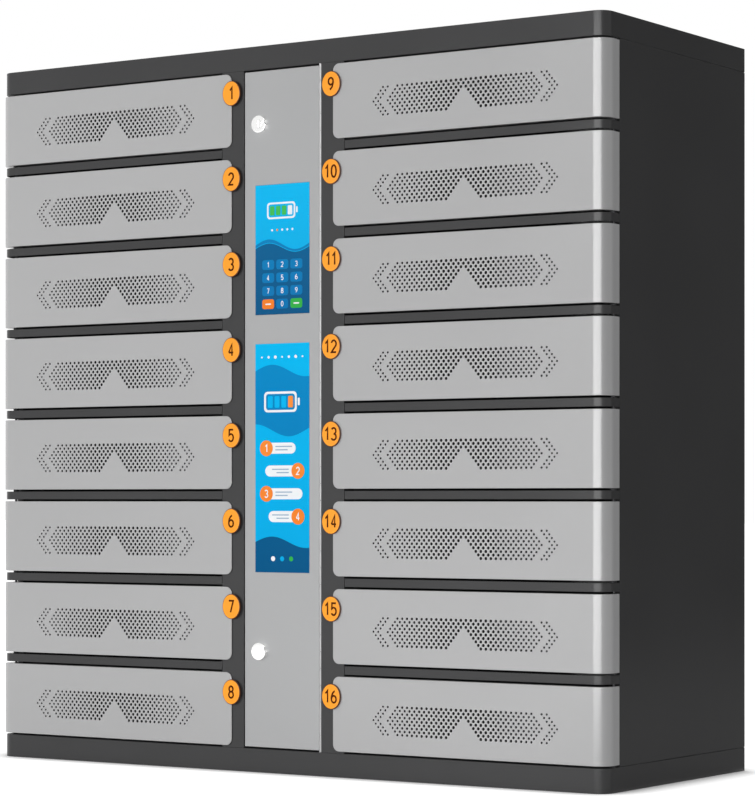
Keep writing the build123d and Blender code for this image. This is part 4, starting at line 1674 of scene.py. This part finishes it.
# %% Sixteen ports
port_y = front + 268 * mm
port_z = door_bottom + 38 * mm
port_places = []
for side in (1, -1):
    turn = Matrix.Rotation(radians(90 * side), 4, "Z")
    for level in range(doors_per_column):
        place = Matrix.Translation((side * bay_edge, port_y, port_z + level * pitch))
        port_places.append((one_port, place @ turn))
ports_mesh = painted(joined("ports", port_places), black_plastic, nickel)
ports = new_piece(
    "charging_port_sockets", ports_mesh, "cabinet", black_plastic, "black_plastic", "charging_ports"
)
soften(ports, 0.25 * mm)
print(len(port_places), "ports")

# %% [markdown]
# The back is bolted on. Its sheets are cut like the doors, with round-ended slots behind
# the bays that let the warm air out, and the inlet sits in a small sheet of its own.

# %% Back sheets
back_inner = back - body_sheet
slot_half_length, slot_half_height = 75 * mm, 3 * mm
inlet_z = 78 * mm
inlet_low, inlet_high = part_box("inlet_panel")
notch_x, notch_top = inlet_high.x + fit, inlet_high.z + fit
inlet_hole_x, inlet_hole_z = 13.7 * mm, 10.2 * mm


def rear_slots():
    """Slots behind both columns of bays."""
    centre = (bay_edge + half_width - body_sheet) / 2
    slots = []
    for level in range(doors_per_column):
        z = door_bottom + level * pitch + door_height / 2
        for side in (-1, 1):
            slots.append(rounded_rectangle(
                side * centre - slot_half_length, z - slot_half_height,
                side * centre + slot_half_length, z + slot_half_height, slot_half_height - hair,
            ))
    return slots


low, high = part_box("back_panel")
back_outline = [
    (low.x, low.z), (-notch_x, low.z), (-notch_x, notch_top), (notch_x, notch_top),
    (notch_x, low.z), (high.x, low.z), (high.x, high.z), (low.x, high.z),
]
inlet_outline = frame_of(inlet_low.x, inlet_low.z, inlet_high.x, inlet_high.z)
inlet_hole = frame_of(
    -inlet_hole_x, inlet_z - inlet_hole_z, inlet_hole_x, inlet_z + inlet_hole_z
)
for node, outline, openings in (
    ("back_panel", back_outline, rear_slots()), ("inlet_panel", inlet_outline, [inlet_hole])
):
    mesh = cut_sheet(outline, openings, body_sheet)
    mesh.transform(place_on_front((back_inner + back) / 2))
    sheet = new_piece(f"{node}_sheet", mesh, "cabinet", dark_coat, "dark_steel", node)
    soften(sheet)
print("back", round((high.z - low.z) / mm, 1), "mm high")

# %% [markdown]
# The mains inlet is a black socket with three metal blades in its pocket. It is built facing
# the front, as everything else, and then turned round and moved to the back. The blades are
# separate shapes that take the second material of the same mesh.

# %% Mains inlet
inlet_half_x, inlet_half_z, inlet_rim, inlet_plate = 13.5 * mm, 10 * mm, 4 * mm, 2.5 * mm
inlet_depth, pocket_depth, socket_corner = 22 * mm, 16 * mm, 0.8 * mm
blade_reach, blade_half_x, blade_half_z = 12.5 * mm, 1 * mm, 2 * mm
pocket_points = [(-12, -8.25), (12, -8.25), (12, 3.5), (7.5, 8.25), (-7.5, 8.25), (-12, 3.5)]
pocket = [(x * mm, y * mm) for x, y in pocket_points]
floor_y = pocket_depth - inlet_plate
plate_outline = centred(inlet_half_x + inlet_rim, inlet_half_z + inlet_rim, plate_corner)
sleeve_outline = centred(inlet_half_x, inlet_half_z, socket_corner)
inlet_block = block(
    -inlet_half_x, inlet_half_x, floor_y, inlet_depth - inlet_plate, -inlet_half_z, inlet_half_z
)
inlet_parts = [
    (cut_sheet(plate_outline, [pocket], inlet_plate), place_on_front(-inlet_plate / 2)),
    (cut_sheet(sleeve_outline, [pocket], floor_y), place_on_front(floor_y / 2)),
    (inlet_block, still),
]
for x, z in ((-7 * mm, 2 * mm), (0, -2 * mm), (7 * mm, 2 * mm)):
    blade = block(
        x - blade_half_x, x + blade_half_x, floor_y - blade_reach, floor_y,
        z - blade_half_z, z + blade_half_z,
    )
    inlet_parts.append((coloured_mesh(blade, 1), still))
about = Matrix.Translation((0, back, inlet_z)) @ Matrix.Rotation(pi, 4, "Z")
inlet_mesh = joined("inlet", [(mesh, about @ matrix) for mesh, matrix in inlet_parts])
inlet = new_piece(
    "mains_inlet_socket", painted(inlet_mesh, black_plastic, nickel), "cabinet",
    black_plastic, "black_plastic", "mains_inlet",
)
soften(inlet)
print("inlet at", round(inlet_z / mm), "mm")

# %% [markdown]
# The floor and the ceiling of the bays close the plinth and the cover. They are the body's
# own outline, drawn in by a sheet's thickness, with two holes for the hinge rods. One mesh
# serves twice, at two heights.

# %% Floor and ceiling sheets of the bays
rod_seat_radius = 2.03 * mm
rods = [ring(side * pivot_x, pivot_y, rod_seat_radius, round_sides) for side in (-1, 1)]
deck = cut_sheet(body_outline(body_sheet + fit), rods, body_sheet)
deck_heights = [base_top - body_sheet / 2, cover_bottom + body_sheet / 2]
decks = joined("decks", [(deck, lifted(z)) for z in deck_heights])
new_piece("deck_sheets", decks, "cabinet", inner_coat, "dark_steel", "deck_panels")
print("decks at", [round(z / mm, 1) for z in deck_heights], "mm")

# %% [markdown]
# The side and back sheets end a little above the plinth and a little below the cover, which
# draws the thin dark seams. On the real cabinet no daylight comes through there, because a
# folded edge or a seal lies behind the seam. Here a flat black strip with two square bends
# closes each seam just behind the surface and leaves a thin groove.

# %% Seals in the seams
seal_setback, seal_width = 0.8 * mm, 0.4 * mm
seal_x, seal_y = half_width - seal_setback, back - seal_setback
seal_start = side_panel_front + seal_setback
seal_outline = [
    (seal_x, seal_start), (seal_x, seal_y), (-seal_x, seal_y), (-seal_x, seal_start),
    (-seal_x + seal_width, seal_start), (-seal_x + seal_width, seal_y - seal_width),
    (seal_x - seal_width, seal_y - seal_width), (seal_x - seal_width, seal_start),
]
seal_mesh = cut_sheet(seal_outline, [], seam_width - 2 * hair)
seal_heights = [base_top + seam_width / 2, cover_bottom - seam_width / 2]
seals = joined("seals", [(seal_mesh, lifted(z)) for z in seal_heights])
new_piece("seam_seals", seals, "cabinet", black_plastic, "black_plastic")
print("seals at", [round(z / mm, 1) for z in seal_heights], "mm")

# %% [markdown]
# The board that runs the locks hangs on the back panel. A green card with a steel shield in
# its middle and two rows of black connectors reads as a board at once, and finer chips
# wouldn't be seen behind the door.

# %% Controller board
board_low, board_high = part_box("controller_board")
board_y = back_inner - 10 * mm
board_sheet = 1.6 * mm
margin = 4 * board_sheet
standoff_half = 3 * mm
plug_count, plug_step, plug_length = 8, 18 * mm, 15 * mm
solder_mask = coated(
    "green_solder_mask", (0.012, 0.11, 0.045), 0.35, 0.5, drift=0.15, grain_size=2.5 * mm
)


def board_parts():
    """Board, shield, connectors and standoffs, each with its material's number."""
    half = board_high.x
    bottom, top = board_low.z, board_high.z
    face = board_y - board_sheet
    middle = (bottom + top) / 2
    shield = half / 3
    parts = [
        (block(-half, half, face, board_y, bottom, top), 0),
        (block(-shield, shield, face - board_sheet, face, middle - shield, middle + shield), 1),
    ]
    for side in (-1, 1):
        x = side * (half - margin)
        x0, x1 = x - standoff_half, x + standoff_half
        for z in (bottom + margin, top - margin):
            z0, z1 = z - standoff_half, z + standoff_half
            parts.append((block(x0, x1, board_y, back_inner, z0, z1), 1))
        x0, x1 = sorted((side * (half - 3 * margin), side * (half - 4 * margin)))
        for index in range(plug_count):
            z = bottom + 2 * margin + plug_step * index
            parts.append((block(x0, x1, face - margin, face, z, z + plug_length), 2))
    return [(coloured_mesh(mesh, index), still) for mesh, index in parts]


board_mesh = painted(joined("board", board_parts()), solder_mask, nickel, black_plastic)
board = new_piece(
    "controller_board_parts", board_mesh, "cabinet", solder_mask, "circuit_board",
    "controller_board",
)
soften(board, 0.2 * mm)
print("board", round((board_high.z - board_low.z) / mm), "mm high")

# %% [markdown]
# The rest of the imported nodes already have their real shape. They stay, and get a coat and
# the same soft edges as the new pieces. Inside the column nothing is polished: the supplies
# have plain metal cases, and the locks and the screen's housing are black plastic.

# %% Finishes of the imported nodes
finishes = {
    dark_coat: ["side_panel_right", "side_panel_left", "post_right", "post_left"],
    inner_coat: ["dividers"],
    black_plastic: ["door_locks", "touchscreen_module"],
    black_zinc: ["hinge_rods"],
    zinc: ["back_panel_screws"],
    supply_metal: ["power_supplies"],
}
for material, names in finishes.items():
    for name in names:
        node = nodes[name]
        node.data.materials.clear()
        painted(node.data, material)
        if name != "hinge_rods":
            soften(node, weld=True)
print("packed nodes finished")

# %% [markdown]
# Seen from behind, the flat top and the sides would mirror the tall card and turn white.
# Light linking keeps a lamp away from some pieces, as a photographer's black paper does.
# The tall card skips the cover and the side panels, and the low card at the height of the
# cover's rim lights the cover alone, which leaves the band on its rounded corner.

# %% What the cards reach
def reach_of(lamp_object, pieces, state):
    """Lets a lamp reach only some pieces, or all but them."""
    linked = bpy.data.collections.new(f"{lamp_object.name}_{state.lower()}")
    for piece in pieces:
        linked.objects.link(piece)
    for entry in linked.collection_objects:
        entry.light_linking.link_state = state
    lamp_object.light_linking.receiver_collection = linked


side_panels = [nodes["side_panel_right"], nodes["side_panel_left"]]
reach_of(corner_card, [cover, *side_panels], "EXCLUDE")
reach_of(cap_card, [cover], "INCLUDE")
print("the tall card skips", 1 + len(side_panels), "pieces")
